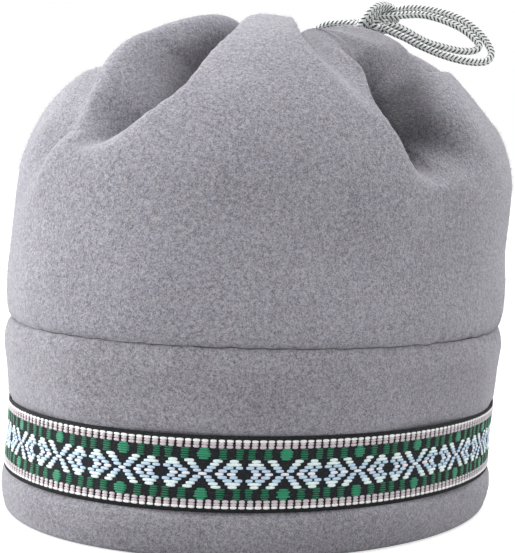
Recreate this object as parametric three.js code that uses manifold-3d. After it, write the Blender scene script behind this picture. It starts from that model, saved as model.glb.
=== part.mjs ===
// A soft fleece hat, gathered on top by an elastic drawcord, with a woven ribbon round its turned hem band.
// Millimetres, +Z up. The origin lies on the floor under the middle of the band, the front faces -Y,
// and the long way of the head lies along Y.

import * as THREE from 'three';
import { mergeVertices } from 'three/addons/utils/BufferGeometryUtils.js';
import Module from 'manifold-3d';

// Driving dimensions
const FLEECE = 2.4;            // one layer of fleece
const GAP = 0.3;               // clearance between pieces that touch
const RIBBON_LOW = 13.7;       // bottom edge of the ribbon
const RIBBON_WIDTH = 22;
const RIBBON_THICK = 0.9;
const CORD = 2.5;              // diameter of the drawcord
const CASING = { radius: 14, z: 144.6, tube: 4.4, bore: 3.2 };   // the rolled rim that holds the cord
const EYELET = { inward: 10, back: 1, up: 3.6, radius: 3.2, length: 9, sides: 12 };    // the cord's way out
const LOOP_TURN = 23.1;        // degrees from +X to the way the cord's loop points
const KNOT = { out: 35.6, back: -1, up: 162.1, wide: 10.4, tall: 9.8, columns: 12, rows: 8 };

// How finely the pieces are divided
const BAND_COLUMNS = 48;
const COLUMNS_PER_FOLD = 8;
const BUNCHING = 0.6;          // how much the crown's columns crowd towards the valleys, from 0 to 1
const CROWN_STEPS = [0, 1, 2, 3, 4, 5, 6, 7, 8, 9, 10, 11, 12, 12.6, 13.2, 14, 15, 16];    // up the ridge
const LINING_END = 14;         // the step where the inner face meets the casing
const CASING_ROLL = [165, 205, 245, 285, 325, 360];    // degrees round the casing's tube
const TUBE_SIDES = 8;
const BORE_STEPS = 40;
const RING = { from: 18, to: 342, points: 24, steps: 28 };    // degrees round the casing, open at the loop
const LEAD_STEPS = 8;
const OUTER_STEPS = 20;
const INNER_STEPS = 18;
const WELD = 1e-4;             // points closer than this are one point

// The crown's ridge line, from the seam over the crest and down to the rim. breadth is the half breadth
// along X, oval the half length over the half breadth, lean the shift towards the loop, fold the share
// of a valley's depth that is left there.
const RIDGE = [
  { z: 60.9, breadth: 77.3, oval: 1.26, lean: 0.8, fold: 1 },
  { z: 64, breadth: 78.5, oval: 1.26, lean: 0.8, fold: 1 },
  { z: 74, breadth: 78.8, oval: 1.26, lean: 0.8, fold: 1 },
  { z: 86, breadth: 78, oval: 1.26, lean: 1.1, fold: 1 },
  { z: 98, breadth: 78.1, oval: 1.25, lean: 2, fold: 1 },
  { z: 108, breadth: 77.8, oval: 1.25, lean: 2.8, fold: 1 },
  { z: 116, breadth: 76.3, oval: 1.24, lean: 3.2, fold: 1 },
  { z: 124, breadth: 73.5, oval: 1.22, lean: 3.2, fold: 1 },
  { z: 131.5, breadth: 69.3, oval: 1.2, lean: 3.2, fold: 1 },
  { z: 138.5, breadth: 63.8, oval: 1.17, lean: 3.2, fold: 1 },
  { z: 145.5, breadth: 56.5, oval: 1.14, lean: 3.2, fold: 1 },
  { z: 151.8, breadth: 47.8, oval: 1.11, lean: 3.2, fold: 1 },
  { z: 156.6, breadth: 37.6, oval: 1.07, lean: 3.2, fold: 1 },
  { z: 159, breadth: 27.5, oval: 1.03, lean: 3.2, fold: 0.95 },
  { z: 158.6, breadth: 19.2, oval: 1, lean: 3.2, fold: 0.7 },
  { z: 155, breadth: 13, oval: 1, lean: 3.2, fold: 0.4 },
  { z: 149.5, breadth: 10.3, oval: 1, lean: 3.2, fold: 0.08 },
];

// The valleys between the folds, counted round from the front towards +X. rim, high, mid and low are
// where the floor lies, in degrees: at the rim, at the two heights below and at its lower end, low_z.
// fade is the length over which the valley deepens above that end. near and far are how wide the slope
// is on the side that is counted first and last. crease is what a tight fold in the floor adds to the
// depth, roll how far the lip rolls over the floor, and top the share of it all that is left at the crest.
const HIGH_Z = 148;
const MID_Z = 135;
const VALLEYS = [
  { rim: -6, high: -9, mid: -8, low: -18, low_z: 113, fade: 19,
    near: 26, far: 16, depth: 17, crease: 8, roll: 2, top: 1 },
  { rim: 38, high: 40, mid: 46, low: 58, low_z: 114, fade: 60,
    near: 7, far: 18, depth: 6, crease: 0, roll: 1.2, top: 1 },
  { rim: 60, high: 59, mid: 56.5, low: 66, low_z: 106, fade: 24,
    near: 11.5, far: 34, depth: 18, crease: 13, roll: 4, top: 0.25 },
  { rim: 100, high: 92, mid: 88, low: 88, low_z: 144, fade: 8,
    near: 10, far: 15, depth: 7, crease: 4, roll: 1, top: 1 },
  { rim: 145, high: 108, mid: 105, low: 110, low_z: 124, fade: 34,
    near: 13, far: 24, depth: 12, crease: 0, roll: 2, top: 1 },
  { rim: 166, high: 159, mid: 153, low: 149, low_z: 115, fade: 34,
    near: 20, far: 22, depth: 10, crease: 0, roll: 0, top: 1 },
  { rim: 194, high: 196, mid: 197, low: 197, low_z: 108, fade: 34,
    near: 15, far: 30, depth: 12, crease: 5, roll: 2, top: 1 },
  { rim: 226, high: 230, mid: 233, low: 238, low_z: 119, fade: 34,
    near: 24, far: 13, depth: 10, crease: 0, roll: 2, top: 1 },
  { rim: 258, high: 262, mid: 265, low: 266, low_z: 111, fade: 34,
    near: 26, far: 15, depth: 11, crease: 4, roll: 2, top: 1 },
  { rim: 306, high: 293, mid: 284, low: 280, low_z: 99, fade: 34,
    near: 28, far: 34, depth: 6, crease: 0, roll: 0, top: 1 },
];
const CLOSING = { from: 142, to: 155 };    // the heights between which a valley closes towards its top share
const CREASE_REACH = 10;       // how far a crease reaches from the floor, at most
const CROWDED = 50;            // radius inside which the slopes narrow, as the folds crowd together
const STEEP = { widest: 17, floor: 1.7, lip: 1.2 };    // a steep slope has a firmer edge than a soft one
const APART = 0.5;             // the least distance between two stops of a floor's line, in ridge steps
const NUDGE = 0.05;            // the step to either side from which the ridge line's direction is taken

// The band's outer face from the hem to the seam. The ribbon presses the fleece in a little.
const BAND = [
  { z: 0.9, breadth: 75.4 },
  { z: 3, breadth: 77 },
  { z: 8, breadth: 77.9 },
  { z: 12.4, breadth: 77.5 },
  { z: 13.9, breadth: 76 },
  { z: 25, breadth: 75.7 },
  { z: 35.4, breadth: 76 },
  { z: 37.2, breadth: 77.3 },
  { z: 46, breadth: 78 },
  { z: 54, breadth: 78.9 },
  { z: 58.6, breadth: 78.3 },
  { z: 60.6, breadth: 77.3 },
];
const BAND_OVAL = 1.26;
const BAND_LEAN = { low: -0.4, low_z: 8, high: 0.8, high_z: 44 };    // the band's shift towards the loop
const HEM_FLAT = { outer: 74.3, inner: 72.6 };    // the flat that the folded hem stands on

// The drawcord's route. out runs from the crown's axis the way the loop points, back at right angles to it.
const LEAD = [
  { out: 13, back: -0.5, up: 146.6 },
  { out: 12.6, back: -0.6, up: 150 },
  { out: 12.9, back: -0.7, up: 153.4 },
  { out: 14.6, back: -0.8, up: 156.4 },
  { out: 18.4, back: -1, up: 158.8 },
  { out: 23.4, back: -1.4, up: 159.4 },
  { out: 30.2, back: -1.5, up: 159.6 },
];
const LEAD_BACK = [
  { out: 30.8, back: 2, up: 160.2 },
  { out: 23.4, back: 2.3, up: 159.8 },
  { out: 18.4, back: 2.4, up: 158.9 },
  { out: 14.6, back: 2.5, up: 156.4 },
  { out: 12.9, back: 2.6, up: 153.4 },
  { out: 12.6, back: 2.6, up: 150 },
  { out: 13, back: 2.6, up: 146.6 },
];
const OUTER_LOOP = [
  { out: 40.3, back: 2.5, up: 164.3 },
  { out: 47.5, back: 3.6, up: 165.8 },
  { out: 56.2, back: 3, up: 164.9 },
  { out: 63.6, back: 2.2, up: 162.5 },
  { out: 69, back: 1.2, up: 158.7 },
  { out: 72.4, back: 0, up: 154.6 },
  { out: 73.5, back: -1.4, up: 151.4 },
  { out: 72, back: -2.6, up: 149.1 },
  { out: 68.6, back: -3.2, up: 148.4 },
  { out: 62.9, back: -3.8, up: 148.9 },
  { out: 56.2, back: -4, up: 150.6 },
  { out: 49.4, back: -4.1, up: 153.1 },
  { out: 44.6, back: -3.9, up: 155.4 },
  { out: 39.3, back: -3.2, up: 157.6 },
];
const INNER_LOOP = [
  { out: 41.1, back: -0.4, up: 162.8 },
  { out: 49.4, back: 0.7, up: 163.6 },
  { out: 56.1, back: 0.6, up: 162.4 },
  { out: 62.8, back: 0, up: 159.8 },
  { out: 67.2, back: -0.5, up: 156.8 },
  { out: 69.2, back: -1, up: 154.3 },
  { out: 67.9, back: -1.4, up: 152.4 },
  { out: 63.6, back: -1.4, up: 152 },
  { out: 57.9, back: -1.3, up: 153 },
  { out: 51.2, back: -1.1, up: 154.8 },
  { out: 41, back: -0.8, up: 159.5 },
];

const wasm = await Module();
wasm.setup();

const MATERIALS = {
  fleece: new THREE.MeshStandardMaterial({ color: 0x86848a, roughness: 0.95, metalness: 0 }),
  band: new THREE.MeshStandardMaterial({ color: 0x7c7a80, roughness: 0.95, metalness: 0 }),
  ribbon: new THREE.MeshStandardMaterial({ color: 0x2c4a40, roughness: 0.7, metalness: 0 }),
  cord: new THREE.MeshStandardMaterial({ color: 0xd9dcda, roughness: 0.6, metalness: 0 }),
};

const degrees = THREE.MathUtils.degToRad;
const turn = degrees(LOOP_TURN);
const OUT = new THREE.Vector3(Math.cos(turn), Math.sin(turn), 0);
const BACK = new THREE.Vector3(-Math.sin(turn), Math.cos(turn), 0);

function place(row) {
  return OUT.clone().multiplyScalar(row.out).addScaledVector(BACK, row.back).setZ(row.up);
}

// A smooth value between the rows of a table, for one of its columns.
function along(table, column, step) {
  const last = table.length - 1;
  const i = Math.min(Math.floor(step), last - 1);
  const at = (n) => table[THREE.MathUtils.clamp(n, 0, last)][column];
  const [p, q, r, s] = [at(i - 1), at(i), at(i + 1), at(i + 2)];
  const f = step - i;
  return q + 0.5 * f * (r - p + f * (2 * p - 5 * q + 4 * r - s + f * (3 * (q - r) + s - p)));
}

// The step along the ridge line that lies at a height on the way up to the crest.
function stepAt(z) {
  const after = RIDGE.findIndex((row) => row.z >= z);
  return after - 1 + (z - RIDGE[after - 1].z) / (RIDGE[after].z - RIDGE[after - 1].z);
}

const RIM_STEP = RIDGE.length - 1;

// A smooth line through a few stops, each a step and a value, level before the first one.
function eased(stops, step) {
  if (step <= stops[0][0]) return stops[0][1];
  const slopes = stops.map(([at, value], i) => {
    if (i === 0) return 0;
    const back = at - stops[i - 1][0];
    const fall = value - stops[i - 1][1];
    if (i === stops.length - 1) return fall / back;
    const ahead = stops[i + 1][0] - at;
    const climb = stops[i + 1][1] - value;
    return (back * back * climb + ahead * ahead * fall) / (back * ahead * (back + ahead));
  });
  const next = stops.findIndex(([at]) => at >= step);
  const width = stops[next][0] - stops[next - 1][0];
  const f = (step - stops[next - 1][0]) / width;
  const even = THREE.MathUtils.lerp(stops[next - 1][1], stops[next][1], f * f * (3 - 2 * f));
  return even + width * f * (1 - f) * ((1 - f) * slopes[next - 1] - f * slopes[next]);
}

function valleyAngle(valley, step) {
  const low = stepAt(valley.low_z);
  const above = [[stepAt(MID_Z), valley.mid], [stepAt(HIGH_Z), valley.high], [RIM_STEP, valley.rim]]
    .filter(([at]) => at > low + APART);
  return degrees(eased([[low, valley.low], ...above], step));
}

const STEP_LENGTHS = RIDGE.map((row, i) => (i === 0 ? 0
  : Math.hypot(row.z - RIDGE[i - 1].z, row.breadth - RIDGE[i - 1].breadth)));

function lengthTo(step) {
  const whole = Math.floor(step);
  const sum = STEP_LENGTHS.slice(0, whole + 1).reduce((a, b) => a + b, 0);
  return sum + (step - whole) * (STEP_LENGTHS[whole + 1] ?? 0);
}

// How far a valley has deepened at a step, from 0 below its lower end.
function valleyRise(valley, step) {
  const above = lengthTo(step) - lengthTo(stepAt(valley.low_z));
  const closing = THREE.MathUtils.smoothstep(step, stepAt(CLOSING.from), stepAt(CLOSING.to));
  return THREE.MathUtils.smoothstep(above, 0, valley.fade) * THREE.MathUtils.lerp(1, valley.top, closing);
}

// How deep the cloth lies under the ridge line, and how far it is pushed round the crown.
function foldAt(angle, step) {
  const radius = along(RIDGE, 'breadth', step) * (1 + along(RIDGE, 'oval', step)) / 2;
  let squares = 0;
  let push = 0;
  for (const valley of VALLEYS) {
    let off = angle - valleyAngle(valley, step);
    off -= 2 * Math.PI * Math.round(off / (2 * Math.PI));
    const slope = off < 0 ? valley.near : valley.far;
    const distance = Math.abs(off) * Math.max(radius, CROWDED);
    const reach = distance / slope;
    const inside = Math.min(reach, 1);
    const share = slope < STEEP.widest ? (1 - inside ** STEEP.floor) ** STEEP.lip
      : 1 - THREE.MathUtils.smoothstep(inside, 0, 1);
    const tight = 1 - THREE.MathUtils.smoothstep(distance, 0, Math.min(slope, CREASE_REACH));
    const rise = valleyRise(valley, step);
    squares += (rise * (valley.depth * share + valley.crease * tight)) ** 2;
    const steepSide = (off < 0) === (valley.near < valley.far);
    if (steepSide) push -= Math.sign(off) * valley.roll * rise * (reach * Math.exp(1 - reach)) ** 2;
  }
  const left = along(RIDGE, 'fold', step);
  return { depth: Math.sqrt(squares) * left, push: push * left };
}

function crownPoint(angle, step) {
  const breadth = along(RIDGE, 'breadth', step);
  const z = along(RIDGE, 'z', step);
  const ahead = Math.min(step + NUDGE, RIM_STEP);
  const behind = Math.max(step - NUDGE, 0);
  const run = along(RIDGE, 'breadth', ahead) - along(RIDGE, 'breadth', behind);
  const climb = along(RIDGE, 'z', ahead) - along(RIDGE, 'z', behind);
  const fold = foldAt(angle, step);
  const depth = fold.depth / Math.hypot(run, climb);
  const turned = angle + fold.push / Math.max(breadth, CASING.radius);
  const half = breadth - depth * climb;
  const oval = along(RIDGE, 'oval', step);
  return new THREE.Vector3(half * Math.sin(turned), -half * oval * Math.cos(turned), z + depth * run)
    .addScaledVector(OUT, along(RIDGE, 'lean', step));
}

// A closed surface through rings of points: rings[i][j], joined round both ways.
function closedRings(rings) {
  const across = rings[0].length;
  const positions = rings.flat().flatMap((p) => [p.x, p.y, p.z]);
  const index = [];
  rings.forEach((ring, i) => {
    const below = i * across;
    const above = ((i + 1) % rings.length) * across;
    ring.forEach((point, j) => {
      const next = (j + 1) % across;
      index.push(below + j, below + next, above + next, below + j, above + next, above + j);
    });
  });
  const geometry = new THREE.BufferGeometry();
  geometry.setAttribute('position', new THREE.Float32BufferAttribute(positions, 3));
  geometry.setIndex(index);
  return geometry;
}

// Shares of the way from one valley to the next, closer together near the valleys.
const COLUMN_SHARES = Array.from({ length: COLUMNS_PER_FOLD }, (_, i) => {
  const even = i / COLUMNS_PER_FOLD;
  return even - BUNCHING * Math.sin(2 * Math.PI * even) / (2 * Math.PI);
});

function columnAngles(step) {
  return VALLEYS.flatMap((valley, i) => {
    const from = valleyAngle(valley, step);
    const next = VALLEYS[(i + 1) % VALLEYS.length];
    const to = valleyAngle(next, step) + (i === VALLEYS.length - 1 ? 2 * Math.PI : 0);
    return COLUMN_SHARES.map((share) => THREE.MathUtils.lerp(from, to, share));
  });
}

// The crown: its outer face up to the rim, the rolled casing, and its inner face one layer of fleece behind.
function crownShell() {
  const outer = CROWN_STEPS.map((step) => columnAngles(step).map((angle) => crownPoint(angle, step)));
  const skin = closedRings(outer);
  skin.computeVertexNormals();
  const normals = skin.getAttribute('normal');
  const across = outer[0].length;
  const inner = outer.map((ring, i) => ring.map((point, j) => {
    const normal = new THREE.Vector3().fromBufferAttribute(normals, i * across + j);
    if (i === 0) normal.copy(point).setZ(0).normalize();
    return point.clone().addScaledVector(normal, -FLEECE);
  }));
  const roll = CASING_ROLL.map((degree) => {
    const swing = degrees(degree);
    const radius = CASING.radius + CASING.tube * Math.cos(swing);
    const z = CASING.z + CASING.tube * Math.sin(swing);
    return columnAngles(RIM_STEP).map((angle) => OUT.clone().multiplyScalar(RIDGE[RIM_STEP].lean)
      .add(new THREE.Vector3(radius * Math.sin(angle), -radius * Math.cos(angle), z)));
  });
  const lining = inner.slice(0, CROWN_STEPS.indexOf(LINING_END)).reverse();
  return closedRings([...outer, ...roll, ...lining]);
}

function solid(geometry) {
  const bare = geometry.clone();
  bare.deleteAttribute('normal');
  bare.deleteAttribute('uv');
  const merged = mergeVertices(bare, WELD);
  const mesh = new wasm.Mesh({
    numProp: 3,
    vertProperties: new Float32Array(merged.getAttribute('position').array),
    triVerts: new Uint32Array(merged.index.array),
  });
  return new wasm.Manifold(mesh);
}

function surface(manifold) {
  const mesh = manifold.getMesh();
  const geometry = new THREE.BufferGeometry();
  geometry.setAttribute('position', new THREE.BufferAttribute(new Float32Array(mesh.vertProperties), 3));
  geometry.setIndex(new THREE.BufferAttribute(new Uint32Array(mesh.triVerts), 1));
  return geometry;
}

// A round tube along a smooth line through the points.
function tube(points, diameter, steps, closed = false) {
  const section = new THREE.Shape(Array.from({ length: TUBE_SIDES }, (_, i) => {
    const angle = 2 * Math.PI * i / TUBE_SIDES;
    return new THREE.Vector2(Math.cos(angle), Math.sin(angle)).multiplyScalar(diameter / 2);
  }));
  const path = new THREE.CatmullRomCurve3(points, closed, 'centripetal');
  return new THREE.ExtrudeGeometry(section, { steps, extrudePath: path, bevelEnabled: false });
}

// Points round the casing's middle line, from one angle to another, in degrees from the loop's direction.
function casingArc(from, to, count) {
  return Array.from({ length: count }, (_, i) => {
    const angle = degrees(THREE.MathUtils.lerp(from, to, i / (count - 1)));
    return OUT.clone().multiplyScalar(RIDGE[RIM_STEP].lean + CASING.radius * Math.cos(angle))
      .addScaledVector(BACK, CASING.radius * Math.sin(angle))
      .setZ(CASING.z);
  });
}

function crown() {
  const bore = new THREE.TorusGeometry(CASING.radius, CASING.bore / 2, TUBE_SIDES, BORE_STEPS);
  bore.translate(RIDGE[RIM_STEP].lean * OUT.x, RIDGE[RIM_STEP].lean * OUT.y, CASING.z);
  const eyelet = new THREE.CylinderGeometry(EYELET.radius, EYELET.radius, EYELET.length, EYELET.sides);
  eyelet.rotateX(Math.PI / 2);
  const inward = RIDGE[RIM_STEP].lean + EYELET.inward;
  const mouth = place({ out: inward, back: EYELET.back, up: CASING.z + EYELET.up });
  eyelet.translate(mouth.x, mouth.y, mouth.z);
  return surface(solid(crownShell()).subtract(solid(bore)).subtract(solid(eyelet)));
}

// A ring of the band's oval at a height, its face moved out by lift.
function ovalRing(breadth, z, lift) {
  return Array.from({ length: BAND_COLUMNS }, (_, j) => {
    const angle = 2 * Math.PI * j / BAND_COLUMNS;
    const length = breadth * BAND_OVAL + lift;
    return new THREE.Vector3((breadth + lift) * Math.sin(angle), -length * Math.cos(angle), z)
      .addScaledVector(OUT, bandLean(z));
  });
}

function bandLean(z) {
  const share = THREE.MathUtils.smoothstep(z, BAND_LEAN.low_z, BAND_LEAN.high_z);
  return THREE.MathUtils.lerp(BAND_LEAN.low, BAND_LEAN.high, share);
}

// The band: two layers of fleece in one closed section, folded round at the hem.
function band() {
  const outer = BAND.map((row) => ovalRing(row.breadth, row.z, 0));
  const inner = BAND.slice(1).reverse().map((row) => ovalRing(row.breadth, row.z, -2 * FLEECE));
  const flat = [HEM_FLAT.inner, HEM_FLAT.outer].map((breadth) => ovalRing(breadth, 0, 0));
  return closedRings([...outer, ...inner, ...flat]);
}

// The ribbon: a thin strap that lies on the pressed-in part of the band.
function ribbon() {
  const seats = BAND.filter((row) => row.z > RIBBON_LOW && row.z < RIBBON_LOW + RIBBON_WIDTH);
  const lifted = (lift) => seats.map((row) => ovalRing(row.breadth, row.z, lift));
  return closedRings([...lifted(GAP + RIBBON_THICK), ...lifted(GAP).reverse()]);
}

function knot() {
  const ball = new THREE.SphereGeometry(1, KNOT.columns, KNOT.rows);
  ball.scale(KNOT.wide / 2, KNOT.wide / 2, KNOT.tall / 2);
  return ball.translate(...place(KNOT).toArray());
}

const PIECES = [
  ['crown', crown(), MATERIALS.fleece],
  ['band', band(), MATERIALS.band],
  ['ribbon', ribbon(), MATERIALS.ribbon],
  ['drawcord_ring', tube(casingArc(RING.from, RING.to, RING.points), CORD, RING.steps), MATERIALS.cord],
  ['drawcord_lead', tube(LEAD.map(place), CORD, LEAD_STEPS), MATERIALS.cord],
  ['drawcord_return', tube(LEAD_BACK.map(place), CORD, LEAD_STEPS), MATERIALS.cord],
  ['drawcord_loop_outer', tube(OUTER_LOOP.map(place), CORD, OUTER_STEPS), MATERIALS.cord],
  ['drawcord_loop_inner', tube(INNER_LOOP.map(place), CORD, INNER_STEPS), MATERIALS.cord],
  ['knot', knot(), MATERIALS.cord],
];

const hat = new THREE.Group();
for (const [name, geometry, material] of PIECES) {
  const mesh = new THREE.Mesh(geometry, material);
  mesh.name = name;
  hat.add(mesh);
}

export default hat;
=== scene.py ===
# %% [markdown]
# A winter hat of soft fleece: a tall crown that an elastic drawcord gathers on top, a doubled
# headband, and a woven folk ribbon round it. The solid model already holds the sizes and the large
# folds. What is left for Blender is everything that a hand would feel: the brushed pile, the pinched
# seam, the raised threads of the ribbon and the braid of the cord.

# %% Load the solid model
import math

import bpy
import numpy as np
from mathutils import Matrix, Vector


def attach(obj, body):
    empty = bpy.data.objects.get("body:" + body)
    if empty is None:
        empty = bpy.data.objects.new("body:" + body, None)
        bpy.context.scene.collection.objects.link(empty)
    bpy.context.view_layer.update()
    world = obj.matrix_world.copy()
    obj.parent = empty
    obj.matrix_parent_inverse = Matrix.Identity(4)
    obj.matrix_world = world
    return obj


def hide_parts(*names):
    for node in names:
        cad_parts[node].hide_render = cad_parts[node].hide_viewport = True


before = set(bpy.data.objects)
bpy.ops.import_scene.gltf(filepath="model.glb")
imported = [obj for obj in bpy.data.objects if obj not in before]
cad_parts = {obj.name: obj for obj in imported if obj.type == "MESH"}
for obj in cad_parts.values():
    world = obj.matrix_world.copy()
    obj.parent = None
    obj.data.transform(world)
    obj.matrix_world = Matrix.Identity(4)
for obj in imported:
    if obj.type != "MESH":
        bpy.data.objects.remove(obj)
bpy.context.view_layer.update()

# %% [markdown]
# The camera stands where it stood for the picture: in front of the hat, a little to its right and
# above the middle. A camera could be placed by eye and turned with a constraint. Here its axes are
# worked out from the three angles of the view, because the cord has to be judged against what this
# camera sees before anything else is made.

# %% Camera
IMAGE_SIZE = (515, 553)
FOCAL_PIXELS = 1702.7
SENSOR = 36.0
CAMERA_PLACE = Vector((0.2227, -0.5245, 0.1156))
VIEW_TURN = math.radians(23.11)
VIEW_DOWN = math.radians(4.14)
VIEW_ROLL = math.radians(2.3)


def camera_axes():
    level_right = Vector((math.cos(VIEW_TURN), math.sin(VIEW_TURN), 0))
    level_ahead = Vector((-math.sin(VIEW_TURN), math.cos(VIEW_TURN), 0))
    ahead = level_ahead * math.cos(VIEW_DOWN) - Vector((0, 0, math.sin(VIEW_DOWN)))
    up = level_right.cross(ahead)
    right = level_right * math.cos(VIEW_ROLL) + up * math.sin(VIEW_ROLL)
    return right, right.cross(ahead), -ahead


camera_data = bpy.data.cameras.new("camera")
camera_data.sensor_fit = "VERTICAL"
camera_data.sensor_height = SENSOR
camera_data.lens = FOCAL_PIXELS * SENSOR / IMAGE_SIZE[1]
camera_data.clip_end = 20.0
camera = bpy.data.objects.new("camera", camera_data)
camera.matrix_world = Matrix.Translation(CAMERA_PLACE) @ Matrix(camera_axes()).transposed().to_4x4()
bpy.context.scene.collection.objects.link(camera)
bpy.context.scene.camera = camera
print("lens", round(camera_data.lens, 1), "mm")

# %% [markdown]
# The crown's large shape is a rule and not a sculpture: a ridge line that is swung round an oval, and
# valleys that sink below it. The same rule makes the solid model, so the fine cloth lies where the
# solid lies. All sizes are metres.

# %% Ridge line of the crown
FLEECE = 0.0024
CASING_RADIUS, CASING_Z, CASING_TUBE = 0.014, 0.1446, 0.0044
LOOP_TURN = math.radians(23.1)
OUT = np.array((math.cos(LOOP_TURN), math.sin(LOOP_TURN), 0))
BACK = np.array((-math.sin(LOOP_TURN), math.cos(LOOP_TURN), 0))

# height, half breadth, half length over half breadth, shift to the loop, share of the folds' depth
RIDGE = np.array([
    (0.0609, 0.0773, 1.26, 0.0008, 1),
    (0.0640, 0.0785, 1.26, 0.0008, 1),
    (0.0740, 0.0788, 1.26, 0.0008, 1),
    (0.0860, 0.0780, 1.26, 0.0011, 1),
    (0.0980, 0.0781, 1.25, 0.0020, 1),
    (0.1080, 0.0778, 1.25, 0.0028, 1),
    (0.1160, 0.0763, 1.24, 0.0032, 1),
    (0.1240, 0.0735, 1.22, 0.0032, 1),
    (0.1315, 0.0693, 1.20, 0.0032, 1),
    (0.1385, 0.0638, 1.17, 0.0032, 1),
    (0.1455, 0.0565, 1.14, 0.0032, 1),
    (0.1518, 0.0478, 1.11, 0.0032, 1),
    (0.1566, 0.0376, 1.07, 0.0032, 1),
    (0.1590, 0.0275, 1.03, 0.0032, 0.95),
    (0.1586, 0.0192, 1.00, 0.0032, 0.7),
    (0.1550, 0.0130, 1.00, 0.0032, 0.4),
    (0.1495, 0.0103, 1.00, 0.0032, 0.08),
])
RIDGE_Z, RIDGE_BREADTH, RIDGE_OVAL, RIDGE_LEAN, RIDGE_FOLD = RIDGE.T
RIM_STEP = len(RIDGE) - 1.0
print("ridge line:", len(RIDGE), "rows, crest at", RIDGE_Z.max(), "m")

# %% [markdown]
# Where a drawcord takes in cloth, the fullness goes into valleys that run down from the rim and die out
# below. They could be carved by hand in sculpt mode. A table is better here, because each valley can be
# moved by itself while the front is set against the picture, and the back keeps the same rhythm.

# %% Valleys and creases
# Where each valley's floor lies in degrees round from the front: at the rim, at two heights below and at
# its lower end. Then the height of that end, the length over which the valley fades in above it, how
# wide its slopes are before and after the floor, its depth, the depth of a tight crease along the floor,
# how far the steep slope's lip rolls over, and the share that is left of it all at the crest.
HIGH_Z, MID_Z = 0.148, 0.135
VALLEYS = [
    (-6, -9, -8, -18, 0.113, 0.019, 0.026, 0.016, 0.017, 0.008, 0.0020, 1),
    (38, 40, 46, 58, 0.114, 0.060, 0.007, 0.018, 0.006, 0, 0.0012, 1),
    (60, 59, 56.5, 66, 0.106, 0.024, 0.0115, 0.034, 0.018, 0.013, 0.0040, 0.25),
    (100, 92, 88, 88, 0.144, 0.008, 0.010, 0.015, 0.007, 0.004, 0.0010, 1),
    (145, 108, 105, 110, 0.124, 0.034, 0.013, 0.024, 0.012, 0, 0.0020, 1),
    (166, 159, 153, 149, 0.115, 0.034, 0.020, 0.022, 0.010, 0, 0, 1),
    (194, 196, 197, 197, 0.108, 0.034, 0.015, 0.030, 0.012, 0.005, 0.0020, 1),
    (226, 230, 233, 238, 0.119, 0.034, 0.024, 0.013, 0.010, 0, 0.0020, 1),
    (258, 262, 265, 266, 0.111, 0.034, 0.026, 0.015, 0.011, 0.004, 0.0020, 1),
    (306, 293, 284, 280, 0.099, 0.034, 0.028, 0.034, 0.006, 0, 0, 1),
]
# Painted shade in each valley, colour darkened where light is low: its most at the floor, the height from
# which it is so, the share that is left near the crest, and the share of the valley's depth at which it is
# full
PAINTED_SHADES = [
    (0.42, 0.152, 1, 0.75),
    (0.12, 0.150, 1, 0.75),
    (0.70, 0.125, 0.40, 0.45),
    (0.20, 0.150, 1, 0.75),
    (0.25, 0.140, 1, 0.75),
    (0.20, 0.140, 1, 0.75),
    (0.30, 0.135, 1, 0.75),
    (0.20, 0.140, 1, 0.75),
    (0.25, 0.140, 1, 0.75),
    (0, 0.140, 1, 0.75),
]
# Painted shade: the height over which it fades in, the heights over which the share near the crest takes
# over, its most, how much a tight crease adds and the crease depth at which that is full
SHADE_FADE = 0.016
LIGHTER_FROM, LIGHTER_TO = 0.1425, 0.1490
DARKEST, CREASE_DARKENS, DARKEST_CREASE = 0.90, 0.6, 0.012

# Shallow creases that the solid model leaves out, with the same first eight columns and a depth. The
# last one has a depth below nought, which makes it a low hump.
CREASES = [
    (50, 51, 52, 53, 0.143, 0.008, 0.005, 0.0040, 0.0016),
    (312, 316, 329, 322, 0.094, 0.024, 0.017, 0.0060, 0.0034),
    (336, 336, 336, 336, 0.1510, 0.006, 0.008, 0.0055, -0.0022),
]
LIP_SHARE, LIP_PLACE = 0.40, 1.7

# The heights between which valleys close towards the crest, how wide a tight crease is, the least radius
# that a slope's width is laid round, the widest slope that is steep, and the two powers of its curve
CLOSING_FROM, CLOSING_TO = 0.142, 0.155
CREASE_REACH = 0.010
CROWDED = 0.050
STEEP_WIDEST = 0.017
FLOOR_ROUND, LIP_ROUND = 1.7, 1.2
print("valleys:", len(VALLEYS), "and shallow creases:", len(CREASES))

# %% [markdown]
# A few small functions read the tables: one gives a smooth value between two rows, one eases from
# nought to one, and the rest turn a height into a place on the ridge line and a valley into an angle.
# They take whole grids of numbers at once, which keeps the script fast.

# %% Helpers that read the tables
def along(values, step):
    """A smooth value between the rows of a table, at any step along it."""
    last = len(values) - 1
    i = np.clip(np.floor(step).astype(int), 0, last - 1)
    p, q, r, s = (values[np.clip(i + n, 0, last)] for n in (-1, 0, 1, 2))
    f = step - i
    return q + 0.5 * f * (r - p + f * (2 * p - 5 * q + 4 * r - s + f * (3 * (q - r) + s - p)))


def smooth(low, high, value):
    share = np.clip((value - low) / (high - low), 0, 1)
    return share * share * (3 - 2 * share)


def step_at(z):
    """The step along the ridge line that lies at a height, on the way up to the crest."""
    crest = int(np.argmax(RIDGE_Z))
    return np.interp(z, RIDGE_Z[:crest + 1], np.arange(crest + 1))


STEP_LENGTHS = np.concatenate([[0], np.cumsum(np.hypot(np.diff(RIDGE_Z), np.diff(RIDGE_BREADTH)))])


def length_to(step):
    return np.interp(step, np.arange(len(RIDGE)), STEP_LENGTHS)


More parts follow.
